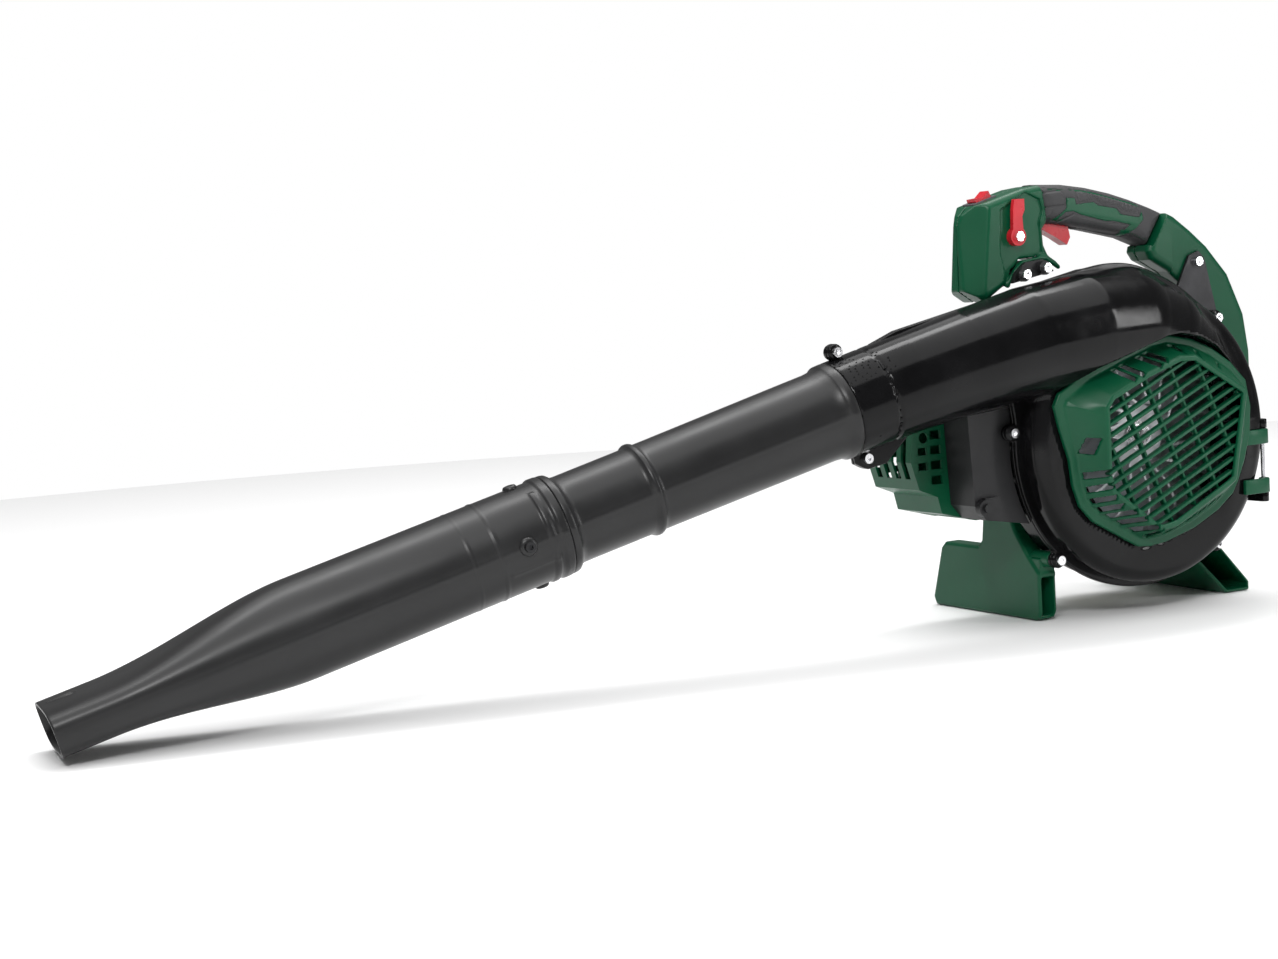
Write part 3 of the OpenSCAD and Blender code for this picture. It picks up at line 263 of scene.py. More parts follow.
def spun(name, profile, centre, axis, material, body="machine", n=48, to_row=from_fan):
    """A profile of (radius, height) turned about an axis through centre."""
    axis = np.asarray(axis, float) / np.linalg.norm(axis)
    side = np.cross(axis, [0.31, 0.87, 0.38])
    side /= np.linalg.norm(side)
    other = np.cross(axis, side)
    rings = []
    for r, h in profile:
        a = 2 * math.pi * np.arange(n) / n
        ring = np.asarray(centre) + h * axis + r * (np.cos(a)[:, None] * side + np.sin(a)[:, None] * other)
        rings.append(ring)
    return loft(name, rings, material, body, to_row)


# ---------- materials ----------
MATERIALS = {}


def material(name, color, rough=0.45, grain=900.0, bump=0.08, vary=0.10, patch=14.0, metallic=0.0, coat=0.0,
             wear=None, rough_vary=0.10, scratch=0.0, spec=0.5):
    """Moulded or cast surface: cloudy colour, uneven gloss, fine grain and rubbed patches."""
    m = bpy.data.materials.new("finish_" + name)
    m.use_nodes = True
    MATERIALS[name] = m
    nodes, links = m.node_tree.nodes, m.node_tree.links
    shader = nodes["Principled BSDF"]
    shader.inputs["Metallic"].default_value = metallic
    shader.inputs["Coat Weight"].default_value = coat
    shader.inputs["Coat Roughness"].default_value = 0.05
    shader.inputs["Specular IOR Level"].default_value = spec
    coords = nodes.new("ShaderNodeTexCoord")

    def noise(scale, detail, rough_=0.5):
        n = nodes.new("ShaderNodeTexNoise")
        n.inputs["Scale"].default_value = scale
        n.inputs["Detail"].default_value = detail
        n.inputs["Roughness"].default_value = rough_
        links.new(coords.outputs["Object"], n.inputs["Vector"])
        return n

    def ramp(source, stops):
        r = nodes.new("ShaderNodeValToRGB")
        r.color_ramp.elements[0].position, r.color_ramp.elements[1].position = stops[0][0], stops[-1][0]
        r.color_ramp.elements[0].color, r.color_ramp.elements[1].color = stops[0][1], stops[-1][1]
        for at, c in stops[1:-1]:
            r.color_ramp.elements.new(at).color = c
        links.new(source, r.inputs["Fac"])
        return r

    cloud = noise(patch, 4)
    dark = [c * (1 - vary) for c in color] + [1]
    light = [min(1, c * (1 + vary) + 0.002) for c in color] + [1]
    base = ramp(cloud.outputs["Fac"], [(0.35, dark), (0.65, light)]).outputs["Color"]
    if wear:
        rubbed = noise(patch * 4, 6, 0.65)
        mask = ramp(rubbed.outputs["Fac"], [(0.66, (0, 0, 0, 1)), (0.78, (0.35, 0.35, 0.35, 1))])
        mix = nodes.new("ShaderNodeMix")
        mix.data_type = "RGBA"
        links.new(mask.outputs["Color"], mix.inputs["Factor"])
        links.new(base, mix.inputs["A"])
        mix.inputs["B"].default_value = (*wear, 1)
        base = mix.outputs["Result"]
    links.new(base, shader.inputs["Base Color"])
    smear = noise(patch * 2.6, 5, 0.6)
    gloss = nodes.new("ShaderNodeMapRange")
    gloss.inputs["From Min"].default_value = 0.3
    gloss.inputs["From Max"].default_value = 0.7
    gloss.inputs["To Min"].default_value = max(0.02, rough - rough_vary * 0.5)
    gloss.inputs["To Max"].default_value = rough + rough_vary * 0.5
    links.new(smear.outputs["Fac"], gloss.inputs["Value"])
    links.new(gloss.outputs["Result"], shader.inputs["Roughness"])
    fine = noise(grain, 3, 0.6)
    lift = nodes.new("ShaderNodeBump")
    lift.inputs["Strength"].default_value = bump
    lift.inputs["Distance"].default_value = 0.0004
    links.new(fine.outputs["Fac"], lift.inputs["Height"])
    if scratch:
        lines = nodes.new("ShaderNodeTexWave")
        lines.inputs["Scale"].default_value = 220
        lines.inputs["Distortion"].default_value = 6
        lines.inputs["Detail"].default_value = 3
        links.new(coords.outputs["Object"], lines.inputs["Vector"])
        more = nodes.new("ShaderNodeBump")
        more.inputs["Strength"].default_value = scratch
        more.inputs["Distance"].default_value = 0.0002
        links.new(lines.outputs["Fac"], more.inputs["Height"])
        links.new(lift.outputs["Normal"], more.inputs["Normal"])
        lift = more
    links.new(lift.outputs["Normal"], shader.inputs["Normal"])
    return m


GREEN = material("green_plastic", (0.0, 0.066, 0.027), rough=0.36, grain=1500, bump=0.12, vary=0.10,
                 patch=9, wear=(0.008, 0.10, 0.05), spec=0.28)
BLACK = material("housing_black", (0.003, 0.003, 0.0034), rough=0.14, grain=1100, bump=0.03, vary=0.25,
                 patch=18, wear=(0.012, 0.012, 0.012), rough_vary=0.12, spec=0.18)
material("dark_plastic", (0.012, 0.012, 0.013), rough=0.42, grain=1300, bump=0.14, vary=0.2, patch=16,
         wear=(0.02, 0.02, 0.02), spec=0.3)
TUBE_MAT = material("tube_plastic", (0.012, 0.012, 0.0125), rough=0.34, grain=1200, bump=0.08, vary=0.12,
                    patch=7, wear=(0.03, 0.03, 0.03), rough_vary=0.10, spec=0.35)
RUBBER = material("grip_rubber", (0.036, 0.036, 0.038), rough=0.62, grain=1500, bump=0.3, vary=0.12,
                  patch=20, wear=(0.08, 0.08, 0.08))
SOFT = material("soft_black", (0.015, 0.015, 0.015), rough=0.55, grain=1500, bump=0.2, vary=0.2, patch=20)
material("red_plastic", (0.50, 0.012, 0.022), rough=0.30, grain=1300, bump=0.10, vary=0.08, patch=30,
         wear=(0.6, 0.06, 0.06), spec=0.3)
material("orange_plastic", (0.75, 0.11, 0.01), rough=0.35, grain=1300, bump=0.10, vary=0.08, patch=30)
material("grey_plastic", (0.10, 0.10, 0.105), rough=0.5, grain=1300, bump=0.15, vary=0.1, patch=30)
material("tank_plastic", (0.55, 0.55, 0.49), rough=0.42, grain=700, bump=0.1, vary=0.08, patch=12)
material("white_plastic", (0.7, 0.7, 0.65), rough=0.4, grain=900, bump=0.08, vary=0.06, patch=20)
material("zinc_steel", (0.80, 0.80, 0.82), rough=0.22, grain=1800, bump=0.1, vary=0.08, patch=60,
         metallic=1, scratch=0.05)
material("black_steel", (0.03, 0.03, 0.032), rough=0.35, grain=1400, bump=0.1, vary=0.2, patch=40,
         metallic=0.7)
material("steel", (0.55, 0.55, 0.57), rough=0.28, grain=1600, bump=0.08, vary=0.1, patch=50, metallic=1,
         scratch=0.12)
material("cast_alloy", (0.48, 0.48, 0.49), rough=0.52, grain=1000, bump=0.5, vary=0.12, patch=25,
         metallic=0.9)
material("fan_alloy", (0.72, 0.73, 0.75), rough=0.33, grain=900, bump=0.25, vary=0.08, patch=25,
         metallic=0.9)
material("hot_steel", (0.16, 0.14, 0.12), rough=0.5, grain=800, bump=0.2, vary=0.35, patch=25,
         metallic=0.8, wear=(0.25, 0.13, 0.07))
material("ceramic", (0.75, 0.74, 0.70), rough=0.15, grain=500, bump=0.02, vary=0.04, patch=30, coat=0.4)
material("foam", (0.05, 0.055, 0.05), rough=0.95, grain=420, bump=1.0, vary=0.3, patch=60)
material("cord", (0.6, 0.6, 0.55), rough=0.85, grain=700, bump=0.9, vary=0.15, patch=90)

# every CAD node gets its finish, and all but those in plain_edges get slightly rounded edges
slots = {s["node"]: s["material_slot"] for s in frame["record"]["subparts"]}
CAD_EDGE = 0.5
plain_edges = {"nozzle", "upper_tube", "fan", "starter_rope", "air_filter_element"}
for node, cad in frame["nodes"].items():
    for k in range(max(1, len(cad.material_slots))):
        if not cad.material_slots:
            cad.data.materials.append(MATERIALS[slots[node]])
        cad.material_slots[k].material = MATERIALS[slots[node]]
    if node not in plain_edges:
        soften(cad, CAD_EDGE, 40)

# ---------- fan housing ----------
RISE = np.array([-20.0, 54.0])


def scroll(u, v, extra=0.0):
    out = np.full(u.shape, 1e9)
    for k in range(5):
        t = k / 4
        out = np.minimum(out, np.hypot(u - RISE[0] * t, v - RISE[1] * t) - (138 + (104 - 138) * t) - extra)
    return out


CHANNEL = [(-332, 50, 0, 43.6), (-300, 59, 3.4, 43.8), (-262, 69, 7, 44.5), (-200, 83, 10, 47),
           (-130, 97, 12, 50.5), (-70, 104, 13, 52.5), (-20, 106, 12, 52), (20, 95, 9, 47),
           (50, 75, 6, 42), (76, 44, 3, 38), (96, 8, 1, 34.5), (101, -30, 0, 32), (85, -72, -1, 30)]

COVER_BASE = [(-122, 38), (-116, 49), (-82, 68), (-44, 81), (-7, 92.5), (13, 94), (42, 88.5), (67, 78.5),
              (90, 63), (108, 45), (113, 20), (111, -6), (103, -32), (94, -51), (87, -62), (68, -76),
              (38, -90), (3, -99.5), (-17, -102), (-31, -100.5), (-54, -88), (-83, -72), (-97, -57),
              (-104, -37), (-107, -13), (-116, 14)]
WINDOW = [(-78, 33), (-72, 40), (-31, 57), (8, 69.5), (25, 69), (82, 35), (77, 9), (66, -43), (59, -47),
          (-4, -77), (-21, -79.6), (-28, -76.6), (-74, -42.5), (-78, -29), (-78, 4)]


def along_tube(u, v, w):
    return (u - COLLAR[0]) * INWARD[0] + (v - COLLAR[1]) * INWARD[1] + (w - COLLAR[2]) * INWARD[2]


def housing_outer(u, v, w):
    disc = slab(scroll(u, v), w, -40, 30, 13)
    duct = chain(u, v, w, CHANNEL)
    d = smooth_min(disc, duct, 7)
    d = d + 1.1 * np.exp(-((along_tube(u, v, w) - 38) / 1.5) ** 2) * (u < -200)
    pocket = slab(poly(u, v, COVER_BASE) - 1.3, w, 30.2, 120, 0)
    d = smooth_max(d, -pocket, 1.6)
    d = np.maximum(d, -40 - w)
    return smooth_max(d, -along_tube(u, v, w), 1.5)


def housing_shell(u, v, w):
    d = housing_outer(u, v, w)
    across = (u - COLLAR[0]) ** 2 + (v - COLLAR[1]) ** 2 + (w - COLLAR[2]) ** 2 - along_tube(u, v, w) ** 2
    bore = np.maximum(np.sqrt(np.maximum(across, 0)) - SLEEVE_BORE, along_tube(u, v, w) - SLEEVE_DEPTH)
    throat = np.maximum(np.sqrt(np.maximum(across, 0)) - 37, along_tube(u, v, w) - 150)
    fan_room = slab(np.hypot(u, v) - 116, w, -27, 19, 2)
    intake = np.maximum(np.hypot(u, v) - INTAKE_R, -w)
    hollow = np.minimum(np.minimum(throat, bore), np.minimum(intake, fan_room))
    return smooth_max(d, -hollow, 0.5)


def front_half(u, v, w):
    return np.maximum(housing_shell(u, v, w), 0.2 - w)


def back_half(u, v, w):
    shaft = np.hypot(u, v) - 9
    return np.maximum(np.maximum(housing_shell(u, v, w), w + 0.2), -shaft)


GRID = 2.4
left = solid("housing_front", front_half, (-345, -146, -3), (146, 172, 72), GRID, BLACK)
right = solid("housing_back", back_half, (-345, -146, -45), (146, 172, 3), GRID, BLACK)

LUGS = [147 * np.array([math.cos(math.radians(a)), math.sin(math.radians(a))]) for a in (174.5, 227.5,
                                                                                         -50.5, 45.5)]
UP = np.array([-math.sin(PITCH), math.cos(PITCH)])
CLAMPS = [COLLAR[:2] + 12 * INWARD[:2] + s * 49.6 * UP for s in (-1, 1)]
DUCT_EDGE = [(-336, 93), (-270, 119), (-161, 142), (-60, 163), (-30, 164), (-30, 20), (-145, 20),
             (-149, 43), (-193, 35), (-249, 28), (-284, -4), (-306, -8), (-327, 1), (-336, 8)]


def flange(u, v, w):
    flat = smooth_min(scroll(u, v, 5.5), poly(u, v, DUCT_EDGE) + 3.5, 3)
    for p in LUGS + CLAMPS:
        flat = smooth_min(flat, np.hypot(u - p[0], v - p[1]) - 7.5, 3)
    return flat


def flange_ring(low, high):
    def field(u, v, w):
        ring = slab(flange(u, v, w), w, low, high, 0.9)
        ring = np.maximum(ring, -(housing_outer(u, v, w) + 1.6))
        for p in LUGS + CLAMPS:
            ring = np.maximum(ring, SCREW_HOLE - np.hypot(u - p[0], v - p[1]))
        return np.maximum(ring, -along_tube(u, v, w))
    return field


fine = ((1.7, 1.7, 0.8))
front_flange = solid("flange_front", flange_ring(0.15, 4), (-345, -160, -1.6), (160, 172, 5.8), fine, BLACK)
back_flange = solid("flange_back", flange_ring(-4, -0.15), (-345, -160, -5.8), (160, 172, 1.6), fine, BLACK)

# bosses round the screws, and the hinge ears
for k, p in enumerate(LUGS + CLAMPS):
    for name, low, high in (("front", 3.5, 4.6), ("back", -5.4, -3.5)):
        spun(f"boss_{name}_{k}", [(SCREW_HOLE, low), (6.8, low), (6.8, high - 0.4), (6.3, high),
                                  (SCREW_HOLE, high)], (p[0], p[1], 0), (0, 0, 1), BLACK, n=32)
for k, v0 in enumerate((-75, -4)):
    prism(f"hinge_ear_{k}", [(109.5, 0.3), (140.2, 0.3), (140.2, 25.5), (139.2, 28.8), (135.5, 30.5),
                             (131.8, 28.8), (130.8, 25.5), (130.5, 4), (109.5, 4)], v0, v0 + 9, BLACK,
                             bevel=0.7, to_row=lambda p: from_fan(np.stack([p[..., 0], p[..., 2],
                                                                            p[..., 1]], -1)))
for piece in (left, front_flange):
    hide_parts("volute_left")
for piece in (right, back_flange):
    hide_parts("volute_right")

# ---------- intake cover ----------
LOUVRES = [((-101.2, -25.9), (-77.7, -21.6)), ((-100.8, -40.5), (-77.2, -33.6)),
           ((-95.6, -51.1), (-73.1, -45.1)), ((-90.3, -59.9), (-64.3, -54.2)),
           ((-81.3, -67.3), (-50.4, -60.3)), ((-72.4, -74.7), (-39.0, -67.9)),
           ((-61.0, -82.4), (-25.1, -76.8))]
NARROW = [((-63, 73), (-45, 56)), ((-53.5, 76), (-35, 59.5)), ((-34, 82), (-14, 66.5)),
          ((-24.5, 84.3), (-6, 71)), ((8, 89), (19, 76.5)), ((46, 80), (34, 69.5)),
          ((70.5, 64.5), (60, 58)), ((-32, -94.5), (-19, -85)), ((-10, -93), (3, -84)),
          ((3.2, -89), (15.5, -78.6)), ((16.8, -84), (29, -74)), ((30.5, -78), (41.5, -68.6)),
          ((43.2, -72), (52, -63.5)), ((55, -66), (62, -60))]


def cover_body(u, v, w):
    base = poly(u, v, COVER_BASE)
    window = poly(u, v, WINDOW)
    rim = slab(base, w, 30.4, 36.5, 2.0)
    t = np.clip((w - 34) / 24, -0.4, 1.2)
    side = ((base + 6.5) * (1 - t) + (window - 6.0) * t) * 0.8
    outer = smooth_max(side, w - 60, 1.2)
    outer = smooth_min(outer, rim, 1.5)
    outer = np.maximum(outer, 30.4 - w)
    hollow = np.maximum(side + 2.6, w - 56.5)
    d = np.maximum(outer, -hollow)
    d = smooth_max(d, -np.maximum(window, 40 - w), 0.8)
    for a, b in LOUVRES:
        a, b = np.array(a), np.array(b)
        drop = np.array([0.8, -3.6])
        d = np.maximum(d, -np.maximum(bar_between(u, v, a + drop, b + drop, 3.1), 37.5 - w))
    for a, b in NARROW:
        a, b = np.array(a), np.array(b)
        if b[1] > a[1]:
            a = a + 0.3 * (b - a)
        d = np.maximum(d, -np.maximum(bar_between(u, v, a, b, 2.9), 38.5 - w))
    hole = poly(u, v, [(-95, 7), (-85, 6), (-89, -9), (-99, -7)])
    return np.maximum(d, -np.maximum(hole, 37.5 - w))


cover_step = 1.25
cover = solid("cover_shell", cover_body, (-128, -108, 28), (119, 100, 63), cover_step, GREEN, "cover")
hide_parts("intake_cover")

slope_dir = np.array([math.cos(math.radians(24)), math.sin(math.radians(24))])
square_dir = np.array([-slope_dir[1], slope_dir[0]])


def clipped(origin, direction, outline):
    """The stretch of a line inside a convex outline."""
    low, high = -1e9, 1e9
    pts = np.asarray(outline, float)
    centre = pts.mean(0)
    for a, b in zip(pts, np.roll(pts, -1, 0)):
        n = np.array([b[1] - a[1], a[0] - b[0]])
        if n @ (centre - a) > 0:
            n = -n
        den, num = n @ direction, n @ (a - origin)
        if abs(den) < 1e-9:
            continue
        if den > 0:
            high = min(high, num / den)
        else:
            low = max(low, num / den)
    return (low, high) if high - low > 4 else None


def grille_bar(name, origin, direction, half, low, high):
    span = clipped(origin, direction, WINDOW)
    if span is None:
        return
    a, b = origin + direction * (span[0] - 1.5), origin + direction * (span[1] + 1.5)
    n = np.array([-direction[1], direction[0]]) * half
    prism(name, [a - n, b - n, b + n, a + n], low, high, GREEN, "cover", bevel=0.7)


for k in range(-9, 10):
    grille_bar(f"grille_bar_{k + 9:02d}", np.array([0.0, -3.0]) + square_dir * 9.9 * k, slope_dir, 1.5,
               50.5, 57.5)
for k in range(-3, 4):
    grille_bar(f"grille_rib_{k + 3}", np.array([-4.0, -4.0]) + slope_dir * 31 * k, square_dir, 1.3, 48.5,
               55)
STRAP = [(104, 31), (126, 31), (130.8, 27.5), (131.2, 23.5), (134, 21), (137.5, 21), (140, 24),
         (140, 28.5), (136, 33.5), (129, 35.4), (104, 35.4)]
for k, v0 in enumerate((-65.7, -18.3)):
    prism(f"cover_strap_{k}", STRAP, v0, v0 + 14, GREEN, "cover", bevel=0.9,
          to_row=lambda p: from_fan(np.stack([p[..., 0], p[..., 2], p[..., 1]], -1)))

# ---------- upper tube ----------
def ring(z, rx, ry=None, n=128, power=1.0, lift=None):
    a = 2 * math.pi * np.arange(n) / n
    ry = rx if ry is None else ry
    c, s = np.cos(a), np.sin(a)
    x = np.sign(c) * np.abs(c) ** power * rx
    y = np.sign(s) * np.abs(s) ** power * ry
    if lift is not None:
        f = lift(a)
        x, y = x * (1 + f / np.hypot(x, y)), y * (1 + f / np.hypot(x, y))
    return np.stack([x, y, np.full(n, z)], -1)


def seam(a, height=0.35, width=0.018):
    """A mould line along both sides."""
    return height * sum(np.exp(-((a - side) / width) ** 2) for side in (math.pi / 2, 3 * math.pi / 2))


TUBE_PROFILE = [(-46, 40), (-0.2, 40), (0, 43.3), (1.2, 43.6), (7.6, 43.4), (9, 42.4), (12, 40.9),
                (20, 40.1), (60, 39.8), (120, 39.2), (180, 38.6), (190, 38.6), (193, 38.9), (194.6, 40.6),
                (196, 41.2), (198, 41.2), (199.4, 40.6), (201, 38.8), (204, 38.4), (230, 38.3),
                (262, 38.15), (268, 38.2), (272, 38.9), (274.6, 41.6), (276, 42.8), (278, 43.3),
                (281, 43.4), (281.9, 43.2), (282.1, 40), (331, 40), (332, 39.4)]
rings = []
for (z0, r0), (z1, r1) in zip(TUBE_PROFILE[:-1], TUBE_PROFILE[1:]):
    steps = max(1, int((z1 - z0) / 6))
    for i in range(steps):
        t = i / steps
        rings.append(ring(z0 + (z1 - z0) * t, r0 + (r1 - r0) * t, lift=seam))
rings.append(ring(332, 39.4))
inner = [ring(332, 36.6), ring(281, 36.0), ring(200, 36.2), ring(100, 37.0), ring(0, 37.7), ring(-46, 37.8)]
tube = loft("tube_upper", rings + inner, TUBE_MAT, closed=True)
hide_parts("upper_tube")

# ---------- nozzle ----------
NOZZLE_Z, NOZZLE_LEN, NOZZLE_R = 282.3, 438.0, 42.4
MOUTH_HALF_W, MOUTH_HALF_H = 46.0, 19.5
ROUND_END, TAPER = 0.52, 0.38  # shares of the length: where the taper starts, and how long it is


def ease(t):
    t = min(1.0, max(0.0, t))
    return t * t * (3 - 2 * t)


def nozzle_ring(k, shrink, detail):
    m = ease((k - ROUND_END) / TAPER)
    z = k * NOZZLE_LEN
    ry = (1 - m) * NOZZLE_R + m * MOUTH_HALF_W - shrink
    rx = (1 - m) * NOZZLE_R + m * MOUTH_HALF_H - shrink

    def lift(a):
        f = seam(a, 0.3, 0.014)
        if detail:
            # raised lip, bayonet band and its hook, then the moulded step before the long taper
            f = f + 1.5 * (1 - ease((z - 7) / 2.5)) - 0.8 * (1 - ease(z / 1.5))
            side = (a + math.pi) % (2 * math.pi) - math.pi
            band = ease((z - 12) / 1.5) * (1 - ease((z - 17) / 1.5))
            f = f + 1.3 * band * (np.abs(side) < 2.6)
            hook = np.exp(-((side - 1.15) / 0.07) ** 2) * ease((z - 12) / 2) * (1 - ease((z - 56) / 3))
            hook2 = np.exp(-((side + 1.9) / 0.07) ** 2) * ease((z - 12) / 2) * (1 - ease((z - 56) / 3))
            f = f + 1.2 * (hook + hook2)
            f = f + 0.55 * (ease((z - 60) / 1.2) * (1 - ease((z - 62.5) / 1.2)))
            f = f + 0.25 * (ease((z - 84) / 0.8) * (1 - ease((z - 86) / 0.8)))
        return f
    return ring(z, rx, ry, n=160, power=1 - 0.45 * m, lift=lift)


levels = sorted(set([round(x, 5) for x in np.concatenate([np.arange(0, 92, 1.1) / NOZZLE_LEN,
                                                          np.arange(92, 436, 4.5) / NOZZLE_LEN,
                                                          [436 / NOZZLE_LEN, 437.5 / NOZZLE_LEN, 1.0]])]))
rings = [nozzle_ring(k, 0.0 if k < 0.999 else 0.5, True) for k in levels]
rings += [nozzle_ring(k, 2.1, False) for k in (1.0, 0.98, 0.94, 0.9, 0.86, 0.82, 0.78, 0.74, 0.7, 0.66,
                                               0.62, 0.58, 0.54, 0.5)]
rings += [nozzle_ring(k, 2.2, False) for k in (0.4, 0.2, 0.0)]


def on_nozzle(p):
    return from_tube(np.asarray(p, float) + np.array([0, 0, NOZZLE_Z]))


nozzle = loft("nozzle_skin", rings, TUBE_MAT, closed=True, to_row=on_nozzle)
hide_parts("nozzle")

for k, s in enumerate((-1, 1)):
    spun(f"nozzle_lug_{k}", [(0, 39), (6.5, 39), (6.2, 43.5), (5.2, 45.0), (3.5, 45.4), (0, 45.4)],
         (0, 0, 25), (s, 0, 0), TUBE_MAT, to_row=on_nozzle)
spun("nozzle_boss", [(2.6, 38), (8.2, 38), (7.8, 42.8), (6.4, 44.4), (2.6, 44.4)], (0, 0, 38), (0, 1, 0),
     TUBE_MAT, to_row=on_nozzle)
prism("nozzle_web", [(-16.9, 30.0), (16.9, 30.0), (16.9, 32.0), (-16.9, 32.0)], 340, 434, TUBE_MAT,
      bevel=0.5, to_row=on_nozzle)


# hanging slot near the mouth: a recessed drop with a raised rim
def drop(z0, length, width, n=24):
    """Outline of a drop, pointed at its far end, as (across, along) the nozzle."""
    pts = []
    for k in range(n):
        a = 2 * math.pi * k / n
        z = z0 - length / 2 * math.cos(a)
        y = width / 2 * math.sin(a) * (0.55 + 0.45 * math.cos(a))
        pts.append((y, z))
    return pts


def top_strip(name, outline, inset, depth, mat):
    """A shallow tray sunk into the top of the nozzle."""
    outer, inner_ = [], []
    c = np.mean(outline, 0)
    for y, z in outline:
        outer.append((-19.45, y - 6, z))
        q = c + (np.array([y, z]) - c) * inset
        inner_.append((-19.45 - depth, q[0] - 6, q[1]))
    n = len(outline)
    verts = outer + inner_
    faces = [(i, (i + 1) % n, n + (i + 1) % n, n + i) for i in range(n)] + [tuple(range(n, 2 * n))]
    return make(name, on_nozzle(np.array(verts)), faces, mat)


top_strip("hang_slot_rim", drop(420, 26, 13), 0.82, 0.7, TUBE_MAT)
top_strip("hang_slot", drop(420, 19, 8), 0.97, 0.85, SOFT)

# ---------- handle ----------
HANDLE = [(-160, 135), (-177, 146), (-176, 206), (-172, 215), (-163, 223), (-134, 231), (-112, 237),
          (-88, 240), (-60, 239), (-32, 235), (-4, 229), (20, 222), (43, 214), (66, 204), (86, 190),
          (106, 174), (132, 146), (152, 106), (160, 70), (163, 30), (162, -14), (150, -14), (150, 28),
          (141, 60), (126, 86), (103, 112), (80, 134), (58, 152), (36, 164), (31, 172), (33, 180),
          (12, 187), (-36, 197), (-86, 205), (-92, 198), (-91, 184), (-86, 174), (-74, 165), (-84, 168),
          (-100, 174), (-120, 172), (-132, 162), (-137, 149)]
GRIP = [(-94, 240.2), (-60, 239.2), (-32, 235.5), (-4, 229.5), (20, 222.5), (43, 214.5), (58, 208.5),
        (37, 177), (12, 186.5), (-36, 196.5), (-89, 204.5)]
PLATE = [(79, 166), (91, 170), (98, 163), (112, 107), (105, 96), (62, 134)]
PANEL = [(-141, 218), (-143, 179), (-137, 153), (-128, 164), (-120, 171), (-102, 173), (-96, 178),
         (-97, 205), (-93, 216), (-96, 226), (-112, 233)]
SKIRT = [(-136, 149, -7, 2.4), (-133, 160, -6, 2.6), (-123, 168.5, -5.5, 2.8), (-106, 172.5, -5.5, 2.8),
         (-92, 172, -6, 2.6), (-82, 166.5, -6.5, 2.4), (-77, 163, -7, 2.0)]


def handle_outer_field(u, v, w):
    outline = poly(u, v, HANDLE)
    d = slab(outline, w, -49, -5, 7.5)
    # the throttle housing is faceted: its front edges are cut back
    front = (v - 180) * 0.12
    d = smooth_max(d, ((w + 5) - (u + 159) + front) * 0.7071, 1.5)
    d = smooth_max(d, ((-w - 49) - (u + 162) + front) * 0.7071, 1.5)
    # the rear sweep narrows towards the foot
    skinny = np.abs(w - HANDLE_Z) - np.interp(v, [-20, 40, 110, 190, 205], [11, 13, 18, 22, 22.5])
    d = np.where(u > 60, smooth_max(d, skinny, 6), d)
    far = np.interp(u, [-10, 60, 100], [44, 33, 31])
    d = smooth_max(d, -(w + 5) - far, 8)
    lip = chain(u, v, w, SKIRT)
    d = smooth_min(d, lip, 3)
    panel = slab(poly(u, v, PANEL), w, -7.6, 5, 0)
    return smooth_max(d, -panel, 1.6)


def handle_field(u, v, w):
    d = handle_outer_field(u, v, w)
    grip = slab(poly(u, v, GRIP), w, -80, 20, 0)
    core = slab(poly(u, v, GRIP) + 4, w, -42, -12, 3)
    d = np.maximum(d, -np.maximum(grip, -core + 0.3))
    slot = np.maximum(np.maximum(np.abs(u + 71) - 29, np.abs(v - 201) - 21), np.abs(w - HANDLE_Z) - 6.6)
    d = np.maximum(d, -slot)
    seat = slab(poly(u, v, PLATE) - 0.4, w, -7, 30, 0)
    d = smooth_max(d, -seat, 0.8)
    su, sv = u + 148, v - 226
    c, s = math.cos(math.radians(16)), math.sin(math.radians(16))
    a, b = su * c + sv * s, -su * s + sv * c
    switch = np.maximum(np.maximum(np.abs(a) - 13.1, np.abs(b - 6) - 14), np.abs(w - HANDLE_Z) - 9.1)
    d = smooth_max(d, -switch, 0.6)
    groove = np.abs(w - HANDLE_Z) - 0.35
    return np.maximum(d, -np.maximum(groove, -(d + 1.0)))


def half(field, sign):
    return lambda u, v, w: np.maximum(field(u, v, w), sign * (HANDLE_Z - w) + 0.05)


handle_step = 1.5
handle_near = solid("handle_near", half(handle_field, 1), (-186, -18, -30), (168, 244, -1), handle_step,
                    GREEN)
handle_far = solid("handle_far", half(handle_field, -1), (-186, -18, -54), (168, 244, -24), handle_step,
                   GREEN)
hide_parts("handle_left")
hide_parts("handle_right")

# grip: rubber sleeve with raised pads and a green band let into each side
INLAY = [(-77, 206), (-63, 217), (-62.5, 226.5), (-52.5, 226), (-51, 220), (-31, 221.5), (-25, 218),
         (-4, 214.6), (1.5, 208.8), (19.5, 205.6), (24, 205.6), (27.4, 211), (28.5, 202.7), (19, 193.7),
         (7.5, 187.9), (0.4, 188.2), (12.5, 198.4), (-7.8, 202.6), (-16.8, 203), (-46, 210),
         (-54.8, 213.6), (-63.7, 213), (-72.9, 205.4)]
PADS = [[(-96, 231), (-67.5, 233.5), (-61.5, 224), (-64.5, 219.5), (-91, 218)],
        [(-49, 233), (-37, 231.8), (-33, 223), (-48.5, 221.5)],
        [(-34, 231), (24, 216.5), (25, 208), (5, 212), (-1, 217), (-22, 220.5), (-26.5, 224)],
        [(-73, 203), (-53, 212), (-43.8, 208), (-6, 200.4), (11, 198.5), (0.5, 190.5), (-62, 201)]]


def grip_round(u, v, w):
    return slab(poly(u, v, GRIP), w, -46, -8, 15)


def inlay_flat(u, v):
    return poly(u, v, INLAY)


